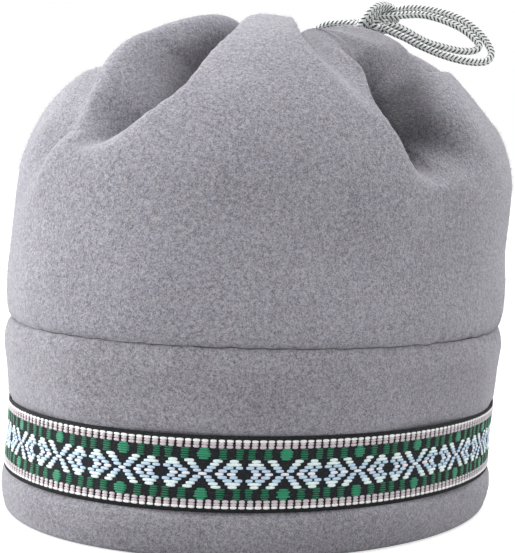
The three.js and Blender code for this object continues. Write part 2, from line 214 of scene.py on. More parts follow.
def eased(stops, step):
    """A smooth line through a few stops, each a step and a value, level before the first one."""
    at, value = np.array(stops, float).T
    slope = np.gradient(value, at)
    slope[0] = 0
    i = np.clip(np.searchsorted(at, step, side="right") - 1, 0, len(at) - 2)
    width = at[i + 1] - at[i]
    f = np.clip((step - at[i]) / width, 0, 1)
    rise = value[i] + f * f * (3 - 2 * f) * (value[i + 1] - value[i])
    return rise + width * f * (1 - f) * ((1 - f) * slope[i] - f * slope[i + 1])


def valley_angle(valley, step):
    """Where a valley's floor lies round the crown, in radians, at a step up the ridge line."""
    rim, high, mid, low, low_z = valley[:5]
    stops = [(step_at(low_z), low), (step_at(MID_Z), mid), (step_at(HIGH_Z), high), (RIM_STEP, rim)]
    stops = [stops[0]] + [stop for stop in stops[1:] if stop[0] > stops[0][0] + 0.5]
    return np.radians(eased(stops, step))


def off_floor(angle, valley, step):
    off = angle - valley_angle(valley, step)
    return off - 2 * np.pi * np.round(off / (2 * np.pi))


# %% [markdown]
# Now the valleys are laid into the ridge surface. Where two of them meet, their depths are added as
# squares, so that one flows into the other without a step. The steep side of a deep valley is pushed
# over a little, as a heavy fold leans on its neighbour, and the depth of the fold also sets a painted
# shade, colour darkened deep in the fold.

# %% Surface of the crown
SLOPE_STEP = 0.05


def mean_radius(step):
    """The crown's radius, midway between its half breadth and its half length."""
    return along(RIDGE_BREADTH, step) * (1 + along(RIDGE_OVAL, step)) / 2


def fold_depth(angle, step):
    """How deep the cloth lies under the ridge line, how far it is pushed round, and its painted shade."""
    radius = mean_radius(step)
    squares = np.zeros_like(angle)
    push = np.zeros_like(angle)
    shade = np.zeros_like(angle)
    height = along(RIDGE_Z, step)
    for valley, (dark, dark_z, crest_share, full_at) in zip(VALLEYS, PAINTED_SHADES):
        low_z, fade, near, far, depth, crease, roll, top = valley[4:]
        fade_in = smooth(0, fade, length_to(step) - length_to(step_at(low_z)))
        rise = fade_in * (1 - (1 - top) * smooth(step_at(CLOSING_FROM), step_at(CLOSING_TO), step))
        off = off_floor(angle, valley, step)
        slope = np.where(off < 0, near, far)
        reach = np.abs(off) * np.maximum(radius, CROWDED) / slope
        inside = np.clip(reach, 0, 1)
        steep = (1 - inside ** FLOOR_ROUND) ** LIP_ROUND
        soft = 1 - smooth(0, 1, inside)
        share = np.where(slope < STEEP_WIDEST, steep, soft)
        tight = 1 - smooth(0, 1, reach * slope / np.minimum(slope, CREASE_REACH))
        squares += (rise * (depth * share + crease * tight)) ** 2
        # Painted shade: colour darkened along a tight crease and deep in the valley, less near the crest
        left = 1 - (1 - crest_share) * smooth(LIGHTER_FROM, LIGHTER_TO, height)
        shade += left * CREASE_DARKENS * rise * crease * tight / DARKEST_CREASE
        painted_darkness = dark * fade_in * smooth(dark_z - SHADE_FADE, dark_z, height)
        shade += left * painted_darkness * smooth(0, full_at, share)
        steep_side = (off < 0) == (near < far)
        over = (reach * np.exp(1 - reach)) ** 2
        push += np.where(steep_side, roll * rise * over * np.sign(-off), 0)
    share = along(RIDGE_FOLD, step)
    return np.sqrt(squares) * share, push * share, np.clip(shade * share, 0, DARKEST)


def shallow_creases(angle, step):
    """How far the shallow creases sink below the cloth, less the low lip that stands beside each."""
    radius = mean_radius(step)
    total = np.zeros_like(angle)
    for crease in CREASES:
        low_z, fade, near, far, depth = crease[4:]
        rise = smooth(0, fade, length_to(step) - length_to(step_at(low_z))) * along(RIDGE_FOLD, step)
        off = off_floor(angle, crease, step)
        reach = np.abs(off) * radius / np.where(off < 0, near, far)
        lip = np.where(off > 0, np.exp(-(reach - LIP_PLACE) ** 2), 0)
        total += rise * depth * (1 - smooth(0, 1, reach) - LIP_SHARE * lip)
    return total


def crown_surface(angle, step):
    """The crown's outer face: points for grids of angles and steps."""
    breadth, oval = along(RIDGE_BREADTH, step), along(RIDGE_OVAL, step)
    ahead, behind = np.minimum(step + SLOPE_STEP, RIM_STEP), np.maximum(step - SLOPE_STEP, 0)
    run = along(RIDGE_BREADTH, ahead) - along(RIDGE_BREADTH, behind)
    climb = along(RIDGE_Z, ahead) - along(RIDGE_Z, behind)
    depth, push, _ = fold_depth(angle, step)
    depth = depth / np.hypot(run, climb)
    half = breadth - depth * climb
    turned = angle + push / np.maximum(breadth, CASING_RADIUS)
    x, y = half * np.sin(turned), -half * oval * np.cos(turned)
    lean = along(RIDGE_LEAN, step)
    return np.stack([x + OUT[0] * lean, y + OUT[1] * lean, along(RIDGE_Z, step) + depth * run], -1)


# %% [markdown]
# Every piece here is a grid of points that closes on itself, so one helper turns such a grid into a
# mesh. The grid's rows go round the hat and its columns go up it. A subdivided cylinder that is pulled
# about would do too, but a grid keeps its lines along the folds, where the cloth bends most.

# %% Mesh helpers
def make_object(name, points, faces, material):
    mesh = bpy.data.meshes.new(name)
    mesh.from_pydata(points, [], faces)
    mesh.materials.append(material)
    mesh.polygons.foreach_set("use_smooth", [True] * len(mesh.polygons))
    mesh.update()
    piece = bpy.data.objects.new(name, mesh)
    bpy.context.scene.collection.objects.link(piece)
    return piece


def grid_faces(rows, columns, close_rows=True):
    """Quads between the rows of a grid whose columns close round, and whose rows may close as well."""
    i = np.arange(rows if close_rows else rows - 1)[:, None]
    j = np.arange(columns)[None, :]
    above, beside = (i + 1) % rows, (j + 1) % columns
    corners = [i * columns + j, i * columns + beside, above * columns + beside, above * columns + j]
    return np.stack([np.broadcast_to(c, (len(i), columns)) for c in corners], -1).reshape(-1, 4)


def grid_normals(grid):
    """Outward directions at the points of a grid whose columns close round."""
    round_it = np.roll(grid, -1, 1) - np.roll(grid, 1, 1)
    up_it = np.gradient(grid, axis=0)
    normals = np.cross(round_it, up_it)
    return normals / np.maximum(np.linalg.norm(normals, axis=-1, keepdims=True), 1e-12)


def blurred(grid, times):
    """A grid smoothed over its neighbours round and up the hat."""
    for _ in range(times):
        wide = (np.roll(grid, -1, 1) + 2 * grid + np.roll(grid, 1, 1)) / 4
        inside = (wide[:-2] + 2 * wide[1:-1] + wide[2:]) / 4
        grid = np.concatenate([wide[:1], inside, wide[-1:]])
    return grid


def carry(mesh, name, values):
    """Store a number or a vector for every point of a mesh, under a name that nodes can read."""
    kind, field = ("FLOAT", "value") if np.ndim(values) == 1 else ("FLOAT_VECTOR", "vector")
    mesh.attributes.new(name, kind, "POINT").data.foreach_set(field, np.ravel(values))


# %% [markdown]
# An input of a node holds a plain value or is linked to another node's output. One helper fills both
# kinds, so each material below reads as a list of what feeds its colour, its gloss and its relief.

# %% Node helpers
def fill(tree, inputs, values):
    """Set inputs by name or number, and link those whose value is another node's output."""
    for key, value in dict(values).items():
        if isinstance(value, bpy.types.NodeSocket):
            tree.links.new(value, inputs[key])
        else:
            inputs[key].default_value = value


def node(tree, kind, values=(), **settings):
    """A new node, its properties set by name and its inputs by name or number."""
    made = tree.nodes.new(kind)
    for key, value in settings.items():
        setattr(made, key, value)
    fill(tree, made.inputs, values)
    return made


def math_node(tree, operation, *values):
    return node(tree, "ShaderNodeMath", enumerate(values), operation=operation).outputs[0]


def mix_colour(tree, share, first, second):
    return node(tree, "ShaderNodeMix", {0: share, 6: first, 7: second}, data_type="RGBA").outputs[2]


def scaled(tree, colour, share):
    """A colour made lighter or darker by a share."""
    made = node(tree, "ShaderNodeVectorMath", {0: colour, "Scale": share}, operation="SCALE")
    return made.outputs["Vector"]


def bumped(tree, height, strength, distance):
    """The direction of a surface that is lifted by a pattern of heights."""
    values = {"Height": height, "Strength": strength, "Distance": distance}
    return node(tree, "ShaderNodeBump", values).outputs["Normal"]


def material_named(name):
    """A new material, its nodes, and the inputs of the shader that give it its finish."""
    material = bpy.data.materials.new(name)
    material.use_nodes = True
    return material, material.node_tree, material.node_tree.nodes["Principled BSDF"].inputs


# %% [markdown]
# Fleece is knitted and then brushed until loose ends of fibre cover it. Three things show: a heathered
# mottle a millimetre or two across, a finer grain of fibre ends, and an edge that glows a little where
# light passes through the pile. The first two are a shader group, because the crown and the band wear
# them with different values. The glow is the sheen of the shader itself.

# %% Pile, as a shader group
# How much the grain, the mottle and the wide clouds each add to the pattern, and the contrast of it all
GRAIN_SHARE, MOTTLE_SHARE, CLOUD_SHARE = 0.52, 0.38, 0.10
CLOUD_SIZE, HUE_SIZE = 0.035, 0.0008
PATTERN_SPREAD = 3.2
GRAIN_GLOSS = -0.1


def new_group(name, inputs, outputs):
    group = bpy.data.node_groups.new(name, "ShaderNodeTree")
    for label, kind, value in inputs:
        socket = group.interface.new_socket(name=label, in_out="INPUT", socket_type=kind)
        socket.default_value = value
    for label, kind in outputs:
        group.interface.new_socket(name=label, in_out="OUTPUT", socket_type=kind)
    start, end = group.nodes.new("NodeGroupInput"), group.nodes.new("NodeGroupOutput")
    return group, start.outputs, end.inputs


def build_pile_group():
    group, given, result = new_group("Brushed pile", [
        ("Place", "NodeSocketVector", (0, 0, 0)),
        ("Light", "NodeSocketColor", (0.4, 0.4, 0.4, 1)),
        ("Dark", "NodeSocketColor", (0.2, 0.2, 0.2, 1)),
        ("Mottle size", "NodeSocketFloat", 0.0012),
        ("Grain size", "NodeSocketFloat", 0.0005),
        ("Contrast", "NodeSocketFloat", 1.0),
        ("Hue wander", "NodeSocketFloat", 0.22),
    ], [("Color", "NodeSocketColor"), ("Roughness", "NodeSocketFloat"), ("Height", "NodeSocketFloat")])

    def noise(size, detail):
        scale = math_node(group, "DIVIDE", 1.0, size)
        values = {"Vector": given["Place"], "Scale": scale, "Detail": detail, "Roughness": 0.6}
        return node(group, "ShaderNodeTexNoise", values).outputs["Fac"]

    mottle = noise(given["Mottle size"], 2.0)
    grain = noise(given["Grain size"], 1.0)
    cloud = noise(CLOUD_SIZE, 2.0)
    mixed = math_node(group, "MULTIPLY", mottle, MOTTLE_SHARE)
    mixed = math_node(group, "MULTIPLY_ADD", grain, GRAIN_SHARE, mixed)
    mixed = math_node(group, "MULTIPLY_ADD", cloud, CLOUD_SHARE, mixed)
    centred = math_node(group, "SUBTRACT", mixed, 0.5)
    gain = math_node(group, "MULTIPLY", given["Contrast"], PATTERN_SPREAD)
    spread = math_node(group, "MULTIPLY", centred, gain)
    share = node(group, "ShaderNodeMath", {0: spread, 1: 0.5}, operation="ADD", use_clamp=True).outputs[0]
    grey = mix_colour(group, share, given["Dark"], given["Light"])
    wander = math_node(group, "SUBTRACT", noise(HUE_SIZE, 1.0), 0.5)
    warmer = math_node(group, "MULTIPLY", wander, given["Hue wander"])
    tint = node(group, "ShaderNodeCombineXYZ", {
        "X": math_node(group, "ADD", 1.0, warmer), "Y": 1.0,
        "Z": math_node(group, "SUBTRACT", 1.0, warmer)})
    tinted = node(group, "ShaderNodeVectorMath", {0: grey, 1: tint.outputs["Vector"]}, operation="MULTIPLY")
    rough = math_node(group, "MULTIPLY_ADD", grain, GRAIN_GLOSS, 1.0)
    fill(group, result, {"Color": tinted.outputs["Vector"], "Roughness": rough, "Height": mixed})
    return group


PILE = build_pile_group()
print("pile group:", len(PILE.nodes), "nodes")

# %% [markdown]
# The crown and the band are cut from one cloth. The band lies closer to the light floor, and its two
# greys are painted a little lower, as painted shade: a darker copy of the same fleece. One function makes
# both materials. It multiplies the pile's colour by the shade that the mesh carries for its folds, which
# is painted shade: colour darkened deep in the folds, where less light reaches.

# %% Fleece
MOTTLE_SIZE, GRAIN_SIZE, PILE_CONTRAST = 0.0011, 0.00042, 1.15
PILE_STRENGTH, PILE_HEIGHT = 0.6, 0.0006
FLEECE_GREYS = {
    "crown": ((0.43, 0.42, 0.465, 1), (0.15, 0.145, 0.17, 1)),
    # The band's greys are the crown's made a little darker: painted shade
    "band": ((0.40, 0.39, 0.43, 1), (0.14, 0.135, 0.155, 1)),
}


def fleece_material(part):
    material, tree, finish = material_named(part + " fleece")
    light, dark = FLEECE_GREYS[part]
    pile = node(tree, "ShaderNodeGroup", {
        "Place": node(tree, "ShaderNodeTexCoord").outputs["Object"], "Light": light, "Dark": dark,
        "Mottle size": MOTTLE_SIZE, "Grain size": GRAIN_SIZE, "Contrast": PILE_CONTRAST},
        node_tree=PILE).outputs
    # Painted shade: the base colour is darkened by the fold shade that the mesh carries
    painted_fold_shade = node(tree, "ShaderNodeAttribute", attribute_name="painted_fold_shade").outputs["Fac"]
    light_share = math_node(tree, "SUBTRACT", 1.0, painted_fold_shade)
    fill(tree, finish, {
        "Base Color": scaled(tree, pile["Color"], light_share),
        "Roughness": pile["Roughness"],
        "Normal": bumped(tree, pile["Height"], PILE_STRENGTH, PILE_HEIGHT),
        "Specular IOR Level": 0.15,
        "Sheen Weight": 0.35,
        "Sheen Roughness": 0.45,
        "Sheen Tint": (0.93, 0.92, 0.96, 1),
    })
    return material


CROWN_FLEECE, BAND_FLEECE = fleece_material("crown"), fleece_material("band")
print("materials:", CROWN_FLEECE.name, "and", BAND_FLEECE.name)

# %% [markdown]
# The crown is one layer of cloth: an outer face, a rolled casing round the rim and an inner face one
# thickness behind. The outer face gets a row every millimetre or so, because a fold's lip is only a few
# millimetres round. Near the casing the cloth is too full to lie smooth, so small puckers are added,
# and just above the seam the stitches pull it into faint dimples.

# %% Crown
CROWN_ROWS = 150
COLUMNS_PER_FOLD = 40
LINING_ROWS = 36
COLUMN_BUNCHING = 0.35
SEAM_Z, SEAM_ROUND = 0.06066, 0.0007
SEAM_TURN = np.linspace(math.pi / 2, 0, 4)

# Each fine wave has a depth, the counts of its waves round the hat and the seed of their phases
SEAM_UNEVEN, SEAM_WAVES = 0.00014, ((37, 53, 71), 31)
PUCKER_DEPTH, PUCKER_WAVES = 0.0010, ((17, 23, 29, 31), 5)
DIMPLE_DEPTH, DIMPLE_WAVES = 0.0004, ((61, 83, 97), 6)
SLACK_DEPTH, SLACK_WAVES = 0.0005, ((5, 7, 9), 7)
ROLL_FULLNESS, ROLL_WAVES = 0.0007, ((19, 26, 33), 8)
SLACK_DRIFT = 9

# How far from the rim puckers are full and end, and how far from the seam dimples and slack do
PUCKER_FULL, PUCKER_END, PUCKER_HIDDEN = 0.006, 0.020, 0.004
DIMPLE_FULL, DIMPLE_END, SLACK_FULL = 0.001, 0.007, 0.02

# The casing's roll in degrees round its tube, its rows, the rows below the rim that have no lining of
# their own, and how often the lining and the painted fold shade are smoothed
ROLL_FROM, ROLL_TO, ROLL_ROWS = 165, 360, 14
UNLINED_ROWS = 17
LINING_BLUR, SHADE_BLUR = 6, 3


def column_angles(step):
    """Angles that crowd towards the valleys, one grid row for each step."""
    even = np.arange(COLUMNS_PER_FOLD) / COLUMNS_PER_FOLD
    share = even - COLUMN_BUNCHING * np.sin(2 * np.pi * even) / (2 * np.pi)
    floors = np.array([valley_angle(valley, step) for valley in VALLEYS])
    after = np.concatenate([floors[1:], floors[:1] + 2 * np.pi])
    angles = floors[:, :, None] + (after - floors)[:, :, None] * share
    return angles.transpose(1, 0, 2).reshape(len(step), -1)


def waves(angle, counts, seed, phase_step=0.0):
    """A soft irregular wave round the hat, between about -1 and 1."""
    draw = np.random.default_rng(seed)
    total = np.zeros_like(angle)
    for count in counts:
        total += np.sin(count * angle + draw.uniform(0, 2 * np.pi) + phase_step)
    return total / math.sqrt(len(counts))


def seam_height(angle):
    """The seam's height round the hat, a little uneven as a sewn line is."""
    return SEAM_Z + SEAM_UNEVEN * waves(angle, *SEAM_WAVES)


def crown_grid():
    """The crown's outer face as a grid: its angles, points, outward directions and painted fold shade."""
    lengths = np.linspace(0, STEP_LENGTHS[-1], CROWN_ROWS)
    step = np.interp(lengths, STEP_LENGTHS, np.arange(len(RIDGE)))
    angle = column_angles(step)
    steps = np.broadcast_to(step[:, None], angle.shape)
    grid = crown_surface(angle, steps)
    normals = grid_normals(grid)
    from_rim = (STEP_LENGTHS[-1] - lengths)[:, None]
    near_rim = smooth(PUCKER_END, PUCKER_FULL, from_rim) * smooth(0, PUCKER_HIDDEN, from_rim)
    pucker = PUCKER_DEPTH * near_rim * waves(angle, *PUCKER_WAVES)
    from_seam = lengths[:, None]
    near_seam = smooth(DIMPLE_END, DIMPLE_FULL, from_seam)
    dimple = -DIMPLE_DEPTH * near_seam * (1 + 0.5 * waves(angle, *DIMPLE_WAVES))
    slack = SLACK_DEPTH * waves(angle, *SLACK_WAVES, SLACK_DRIFT * step[:, None] / RIM_STEP)
    slack = slack * smooth(0, SLACK_FULL, from_seam)
    sunk = shallow_creases(angle, steps)
    grid = grid + normals * (pucker + dimple + slack - sunk)[..., None]
    grid[0, :, 2] = seam_height(angle[0])
    return angle, grid, normals, fold_depth(angle, steps)[2]


def casing_roll(angle):
    """Rings of points that carry the cloth over the rim and round the casing's tube."""
    lean, rings = RIDGE_LEAN[-1], []
    for degree in np.linspace(ROLL_FROM, ROLL_TO, ROLL_ROWS):
        swing = math.radians(degree)
        fullness = ROLL_FULLNESS * math.sin(math.pi * (degree - ROLL_FROM) / (ROLL_TO - ROLL_FROM))
        tube = CASING_TUBE + fullness * waves(angle, *ROLL_WAVES)
        radius = CASING_RADIUS + tube * math.cos(swing)
        rings.append(np.stack([radius * np.sin(angle) + OUT[0] * lean,
                               -radius * np.cos(angle) + OUT[1] * lean,
                               CASING_Z + tube * math.sin(swing)], -1))
    return np.array(rings)


def make_crown(angle, outer, normals, painted_fold_shade):
    softer = blurred(outer, LINING_BLUR)
    inner = softer - grid_normals(softer) * FLEECE
    inward = -normals[0] * (1, 1, 0)
    inner[0] = outer[0] + FLEECE * inward
    turned_in = [outer[0] + SEAM_ROUND * (inward * (1 - math.cos(turn)) + (0, 0, 1 - math.sin(turn)))
                 for turn in SEAM_TURN]
    kept = np.unique(np.linspace(0, CROWN_ROWS - UNLINED_ROWS, LINING_ROWS).astype(int))[::-1]
    rings = np.concatenate([np.array(turned_in), outer[1:], casing_roll(angle[-1]), inner[kept]])
    rows, columns = rings.shape[:2]
    piece = make_object("crown_cloth", rings.reshape(-1, 3), grid_faces(rows, columns), CROWN_FLEECE)
    # The painted fold shade rides on the outer face of the mesh, for the fleece material to darken with
    shade = np.zeros((rows, columns))
    first = len(turned_in) - 1
    shade[first:first + CROWN_ROWS] = blurred(painted_fold_shade, SHADE_BLUR)
    carry(piece.data, "painted_fold_shade", shade.ravel())
    return piece


crown_angles, crown_outer, crown_normals, crown_painted_shades = crown_grid()
crown = make_crown(crown_angles, crown_outer, crown_normals, crown_painted_shades)
print("crown:", len(crown.data.polygons), "quads")

# %% [markdown]
# The headband is one strip of the same fleece folded double. Its fold is the hem that the hat stands
# on, and its two raw edges are caught in the seam. It could be a plain thick ring. It is made as the
# folded strip that it is, so its hem has the round of a real fold and its area is that of the cut.

# %% Band
BAND_OVAL = 1.26
BAND_COLUMNS = 360

# height and half breadth of the outer face, with a shallow bed where the ribbon lies
BAND = np.array([
    (0.0024, 0.0768), (0.0040, 0.0773), (0.0080, 0.0779), (0.0115, 0.0777), (0.0132, 0.0766),
    (0.0150, 0.0760), (0.0250, 0.0757), (0.0345, 0.0760), (0.0362, 0.0766), (0.0378, 0.0774),
    (0.0420, 0.0777), (0.0460, 0.0780), (0.0540, 0.0789), (0.0572, 0.0787), (0.0592, 0.0782),
    (0.0606, 0.0776),
])
BAND_Z, BAND_BREADTH = BAND.T
LEAN_LOW, LEAN_LOW_Z, LEAN_HIGH, LEAN_HIGH_Z = -0.0004, 0.008, 0.0008, 0.044

# Rows down the outside, round the hem, up the inside and along each side of the slit between the layers
OUTSIDE_ROWS, HEM_ROWS, INSIDE_ROWS, SLIT_ROWS = 76, 12, 16, 8
INSIDE_LOW, INSIDE_TOP, RAW_EDGE = 0.004, 0.0598, 0.0604
RAW_ROUND, CAUGHT_ROUND = 0.0008, 0.0006
SLIT_LOW, SLIT_HALF = 0.0034, 0.0001
BAND_DIMPLE_WAVES, BAND_DIMPLE_FROM, BAND_DIMPLE_FULL = ((59, 79, 101), 11), 0.0535, 0.0600
BAND_SLACK, BAND_SLACK_WAVES, BAND_SLACK_FULL, BAND_SLACK_DRIFT = 0.0004, ((6, 8, 11), 12), 0.01, 60
SEAM_FOLLOWED_FROM = 0.0560


def band_lean(z):
    return LEAN_LOW + (LEAN_HIGH - LEAN_LOW) * smooth(LEAN_LOW_Z, LEAN_HIGH_Z, z)


def band_ring(angle, z, lift):
    """Points round the band's oval at a height, moved out from its outer face by lift."""
    breadth = np.interp(z, BAND_Z, BAND_BREADTH)
    x = (breadth + lift) * np.sin(angle) + OUT[0] * band_lean(z)
    y = -(breadth * BAND_OVAL + lift) * np.cos(angle) + OUT[1] * band_lean(z)
    return np.stack([x, y, np.broadcast_to(z, np.shape(x))], -1)


def band_section():
    """Heights and lifts round the folded strip's section, from the seam down the outside and back."""
    top = BAND_Z[-1]
    section = [(top - SEAM_ROUND * (1 - math.sin(turn)), -SEAM_ROUND * (1 - math.cos(turn)))
               for turn in SEAM_TURN[:-1]]
    section += [(z, 0.0) for z in np.linspace(top - SEAM_ROUND, BAND_Z[0], OUTSIDE_ROWS)]
    for turn in np.linspace(0, math.pi, HEM_ROWS)[1:]:
        section.append((FLEECE * (1 - math.sin(turn)), FLEECE * (math.cos(turn) - 1)))
    section += [(z, -2 * FLEECE) for z in np.linspace(INSIDE_LOW, INSIDE_TOP, INSIDE_ROWS)]
    section += [(RAW_EDGE, -2 * FLEECE + RAW_ROUND), (RAW_EDGE, -FLEECE - RAW_ROUND)]
    section += [(z, -FLEECE - SLIT_HALF) for z in np.linspace(INSIDE_TOP, SLIT_LOW, SLIT_ROWS)]
    section += [(z, -FLEECE + SLIT_HALF) for z in np.linspace(SLIT_LOW, INSIDE_TOP, SLIT_ROWS)]
    section += [(RAW_EDGE, -FLEECE + CAUGHT_ROUND)]
    return section


def make_band():
    """The band, and the rows of its grid that lie on the outside, from the hem up."""
    angle = np.linspace(0, 2 * np.pi, BAND_COLUMNS, endpoint=False)
    rings, outer = [], []
    for z, lift in band_section():
        ring = band_ring(angle, max(z, BAND_Z[0]), lift)
        ring[:, 2] = z + (seam_height(angle) - SEAM_Z) * smooth(SEAM_FOLLOWED_FROM, BAND_Z[-1], z)
        outside = 1.0 if lift > -FLEECE / 2 else 0.0
        near_seam = smooth(BAND_DIMPLE_FROM, BAND_DIMPLE_FULL, z)
        wobble = -DIMPLE_DEPTH * near_seam * (1 + 0.5 * waves(angle, *BAND_DIMPLE_WAVES))
        slack = BAND_SLACK * waves(angle, *BAND_SLACK_WAVES, BAND_SLACK_DRIFT * z)
        wobble += slack * smooth(0.0, BAND_SLACK_FULL, z)
        normal = ring * (1, 1 / BAND_OVAL ** 2, 0)
        normal /= np.linalg.norm(normal, axis=1, keepdims=True)
        rings.append(ring + normal * (wobble * outside)[:, None])
        if lift == 0:
            outer.append(rings[-1])
    rings = np.array(rings[::-1])
    piece = make_object("band_cloth", rings.reshape(-1, 3), grid_faces(*rings.shape[:2]), BAND_FLEECE)
    return piece, np.array(outer[::-1])


band, band_outer = make_band()
print("band:", len(band.data.polygons), "quads")

# %% [markdown]
# The ribbon is a jacquard trim: a dark ground, with coloured threads that float over it wherever the
# pattern calls for them. A picture of the pattern would be flat. Here the ground is a thin strap, and
# each float is a small raised thread that catches light, so the pattern has the sparkle of weaving.

# %% Ribbon ground
RIBBON_LOW, RIBBON_WIDTH, RIBBON_THICK, GAP = 0.0137, 0.022, 0.0008, 0.0003
RIBBON_COLUMNS = 640
RIBBON_ROWS = 14
ANGLE_SAMPLES = 20001
SELVEDGE_DROP, SELVEDGE_REACH = 0.0004, 0.0012
WARP_PITCH, WEFT_PITCH = 0.00045, 0.00046
WEAVE_CONTRAST, WEAVE_LEVEL, WEAVE_HEIGHT = 0.55, 0.75, 0.00015
SPECK_SCALE, SPECK_FROM, SPECK_FULL = 1500.0, 0.52, 0.70
GROUND_DARK, GROUND_WARM = (0.014, 0.025, 0.030, 1), (0.080, 0.036, 0.042, 1)


def ribbon_angles():
    """Angles round the band's oval, and the length along the ribbon from the front to each of them."""
    angle = np.linspace(0, 2 * np.pi, ANGLE_SAMPLES)
    ring = band_ring(angle, RIBBON_LOW + RIBBON_WIDTH / 2, GAP + RIBBON_THICK)
    lengths = np.concatenate([[0], np.cumsum(np.linalg.norm(np.diff(ring, axis=0), axis=1))])
    return angle, lengths


RIBBON_ANGLES, RIBBON_LENGTHS = ribbon_angles()
RIBBON_LENGTH = RIBBON_LENGTHS[-1]


def ribbon_place(length, height, lift):
    """Points on the ribbon: length round it from the front, height across it, lift off the fleece."""
    angle = np.interp(np.mod(length, RIBBON_LENGTH), RIBBON_LENGTHS, RIBBON_ANGLES)
    return band_ring(angle, RIBBON_LOW + height, lift)


def ribbon_material():
    material, tree, finish = material_named("ribbon ground")
    uv = node(tree, "ShaderNodeUVMap", uv_map="UVMap").outputs["UV"]
    split = node(tree, "ShaderNodeSeparateXYZ", {"Vector": uv})
    warp_turns = math_node(tree, "MULTIPLY", split.outputs["X"], 2 * math.pi / WARP_PITCH)
    weft_turns = math_node(tree, "MULTIPLY", split.outputs["Y"], 2 * math.pi / WEFT_PITCH)
    weave = math_node(tree, "MULTIPLY", math_node(tree, "SINE", warp_turns),
                      math_node(tree, "SINE", weft_turns))
    specks = node(tree, "ShaderNodeTexNoise", {"Vector": uv, "Scale": SPECK_SCALE, "Detail": 1.0})
    warm = node(tree, "ShaderNodeMapRange", {"Value": specks.outputs["Fac"], "From Min": SPECK_FROM,
                                             "From Max": SPECK_FULL})
    dyed = mix_colour(tree, warm.outputs["Result"], GROUND_DARK, GROUND_WARM)
    light = math_node(tree, "MULTIPLY_ADD", weave, WEAVE_CONTRAST, WEAVE_LEVEL)
    fill(tree, finish, {
        "Base Color": scaled(tree, dyed, light),
        "Normal": bumped(tree, weave, 0.5, WEAVE_HEIGHT),
        "Roughness": 0.8,
        "Specular IOR Level": 0.2,
    })
    return material


RIBBON_GROUND = ribbon_material()


def make_ribbon():
    length = np.linspace(0, RIBBON_LENGTH, RIBBON_COLUMNS, endpoint=False)
    height = np.linspace(0, RIBBON_WIDTH, RIBBON_ROWS)
    section = [(h, GAP + RIBBON_THICK) for h in height]
    section += [(h, GAP) for h in height[::-1]]
    rings = []
    for h, lift in section:
        edge = min(h, RIBBON_WIDTH - h)
        rounding = SELVEDGE_DROP * (1 - smooth(0, SELVEDGE_REACH, edge)) if lift > GAP else 0
        rings.append(ribbon_place(length, h, lift - rounding))
    rings = np.array(rings)
    faces = grid_faces(*rings.shape[:2])
    piece = make_object("ribbon_ground", rings.reshape(-1, 3), faces, RIBBON_GROUND)
    layer = piece.data.uv_layers.new(name="UVMap")
    u = np.append(length, RIBBON_LENGTH)
    v = np.array([h for h, _ in section])
    columns = faces.reshape(len(section), RIBBON_COLUMNS, 4)
    uv = np.zeros(columns.shape + (2,))
    i = np.arange(len(section))[:, None]
    j = np.arange(RIBBON_COLUMNS)[None, :]
    for corner, (row, column) in enumerate([(i, j), (i, j + 1), (i + 1, j + 1), (i + 1, j)]):
        uv[:, :, corner, 0] = u[np.broadcast_to(column, columns.shape[:2])]
        uv[:, :, corner, 1] = v[np.broadcast_to(row % len(section), columns.shape[:2])]
    layer.data.foreach_set("uv", uv.reshape(-1))
    return piece


ribbon = make_ribbon()
print("ribbon:", round(RIBBON_LENGTH * 1000), "mm round")

# %% [markdown]
# The pattern is charted the way a weaver draws it: one row for each weft, counted out from
# the middle of the motif, and for each row the stretches where a light thread floats. It is an old
# pattern of crosses and hexagons that mirrors to both sides and up and down, so a quarter is enough.

# %% Chart of the ribbon
REPEATS = 23
REPEAT = RIBBON_LENGTH / REPEATS
PATTERN_SHIFT = 0.0003
PATTERN_START = PATTERN_SHIFT - REPEAT / 2
MOTIF_PITCH = 0.00093
WHITE, ROSE, PINK = (0.97, 0.97, 0.95), (0.66, 0.58, 0.62), (0.95, 0.91, 0.98)
BLUE, PALE = (0.58, 0.76, 0.92), (0.85, 0.98, 0.98)
GREEN, DEEP_GREEN = (0.032, 0.29, 0.155), (0.018, 0.185, 0.095)

# For each weft out from the middle: start and end of each float in hundredths of a repeat, and colour
MOTIF = [
    [(10.5, 20.5, PINK), (25, 35, PINK), (45, 55, PINK)],
    [(8, 17, BLUE), (21, 31.5, BLUE), (38.5, 48, BLUE)],
    [(2, 11, BLUE), (14, 25.5, BLUE), (35, 45, BLUE)],
    [(4.5, 22, PALE), (31, 42, PALE)],
    [(8, 18.5, PALE), (27.5, 38.5, PALE)],
]
GREEN_STACKS = [(2.8, 11.8, DEEP_GREEN), (22.2, 32.0, DEEP_GREEN), (42.2, 57.8, GREEN)]
GREEN_ROWS = 5
GREEN_INNER = 4.45 * MOTIF_PITCH
GREEN_PITCH = 0.00066
GREEN_CORNER = 2.4
NARROW_SHARE = 0.76

# Beads in a repeat, and for each row of them its height over the middle, its thickness, half the width
# of a bead in hundredths of a repeat, and its colour
BEADS = 10
BEAD_ROWS = [
    (0.00784, 0.00092, 3.6, ROSE),
    (0.00870, 0.00088, 3.6, ROSE),
    (0.00950, 0.00084, 4.1, WHITE),
]


def mirrored(start, end):
    """A stretch of the chart and its mirror image, one alone if it lies across the middle."""
    return [(start, end)] if start + end == 100 else [(start, end), (100 - end, 100 - start)]


def motif_floats():
    for row, stretches in enumerate(MOTIF):
        for start, end, colour in stretches:
            for side in ((1, -1) if row else (1,)):
                for low, high in mirrored(start, end):
                    yield low, high, side * row * MOTIF_PITCH, MOTIF_PITCH, colour


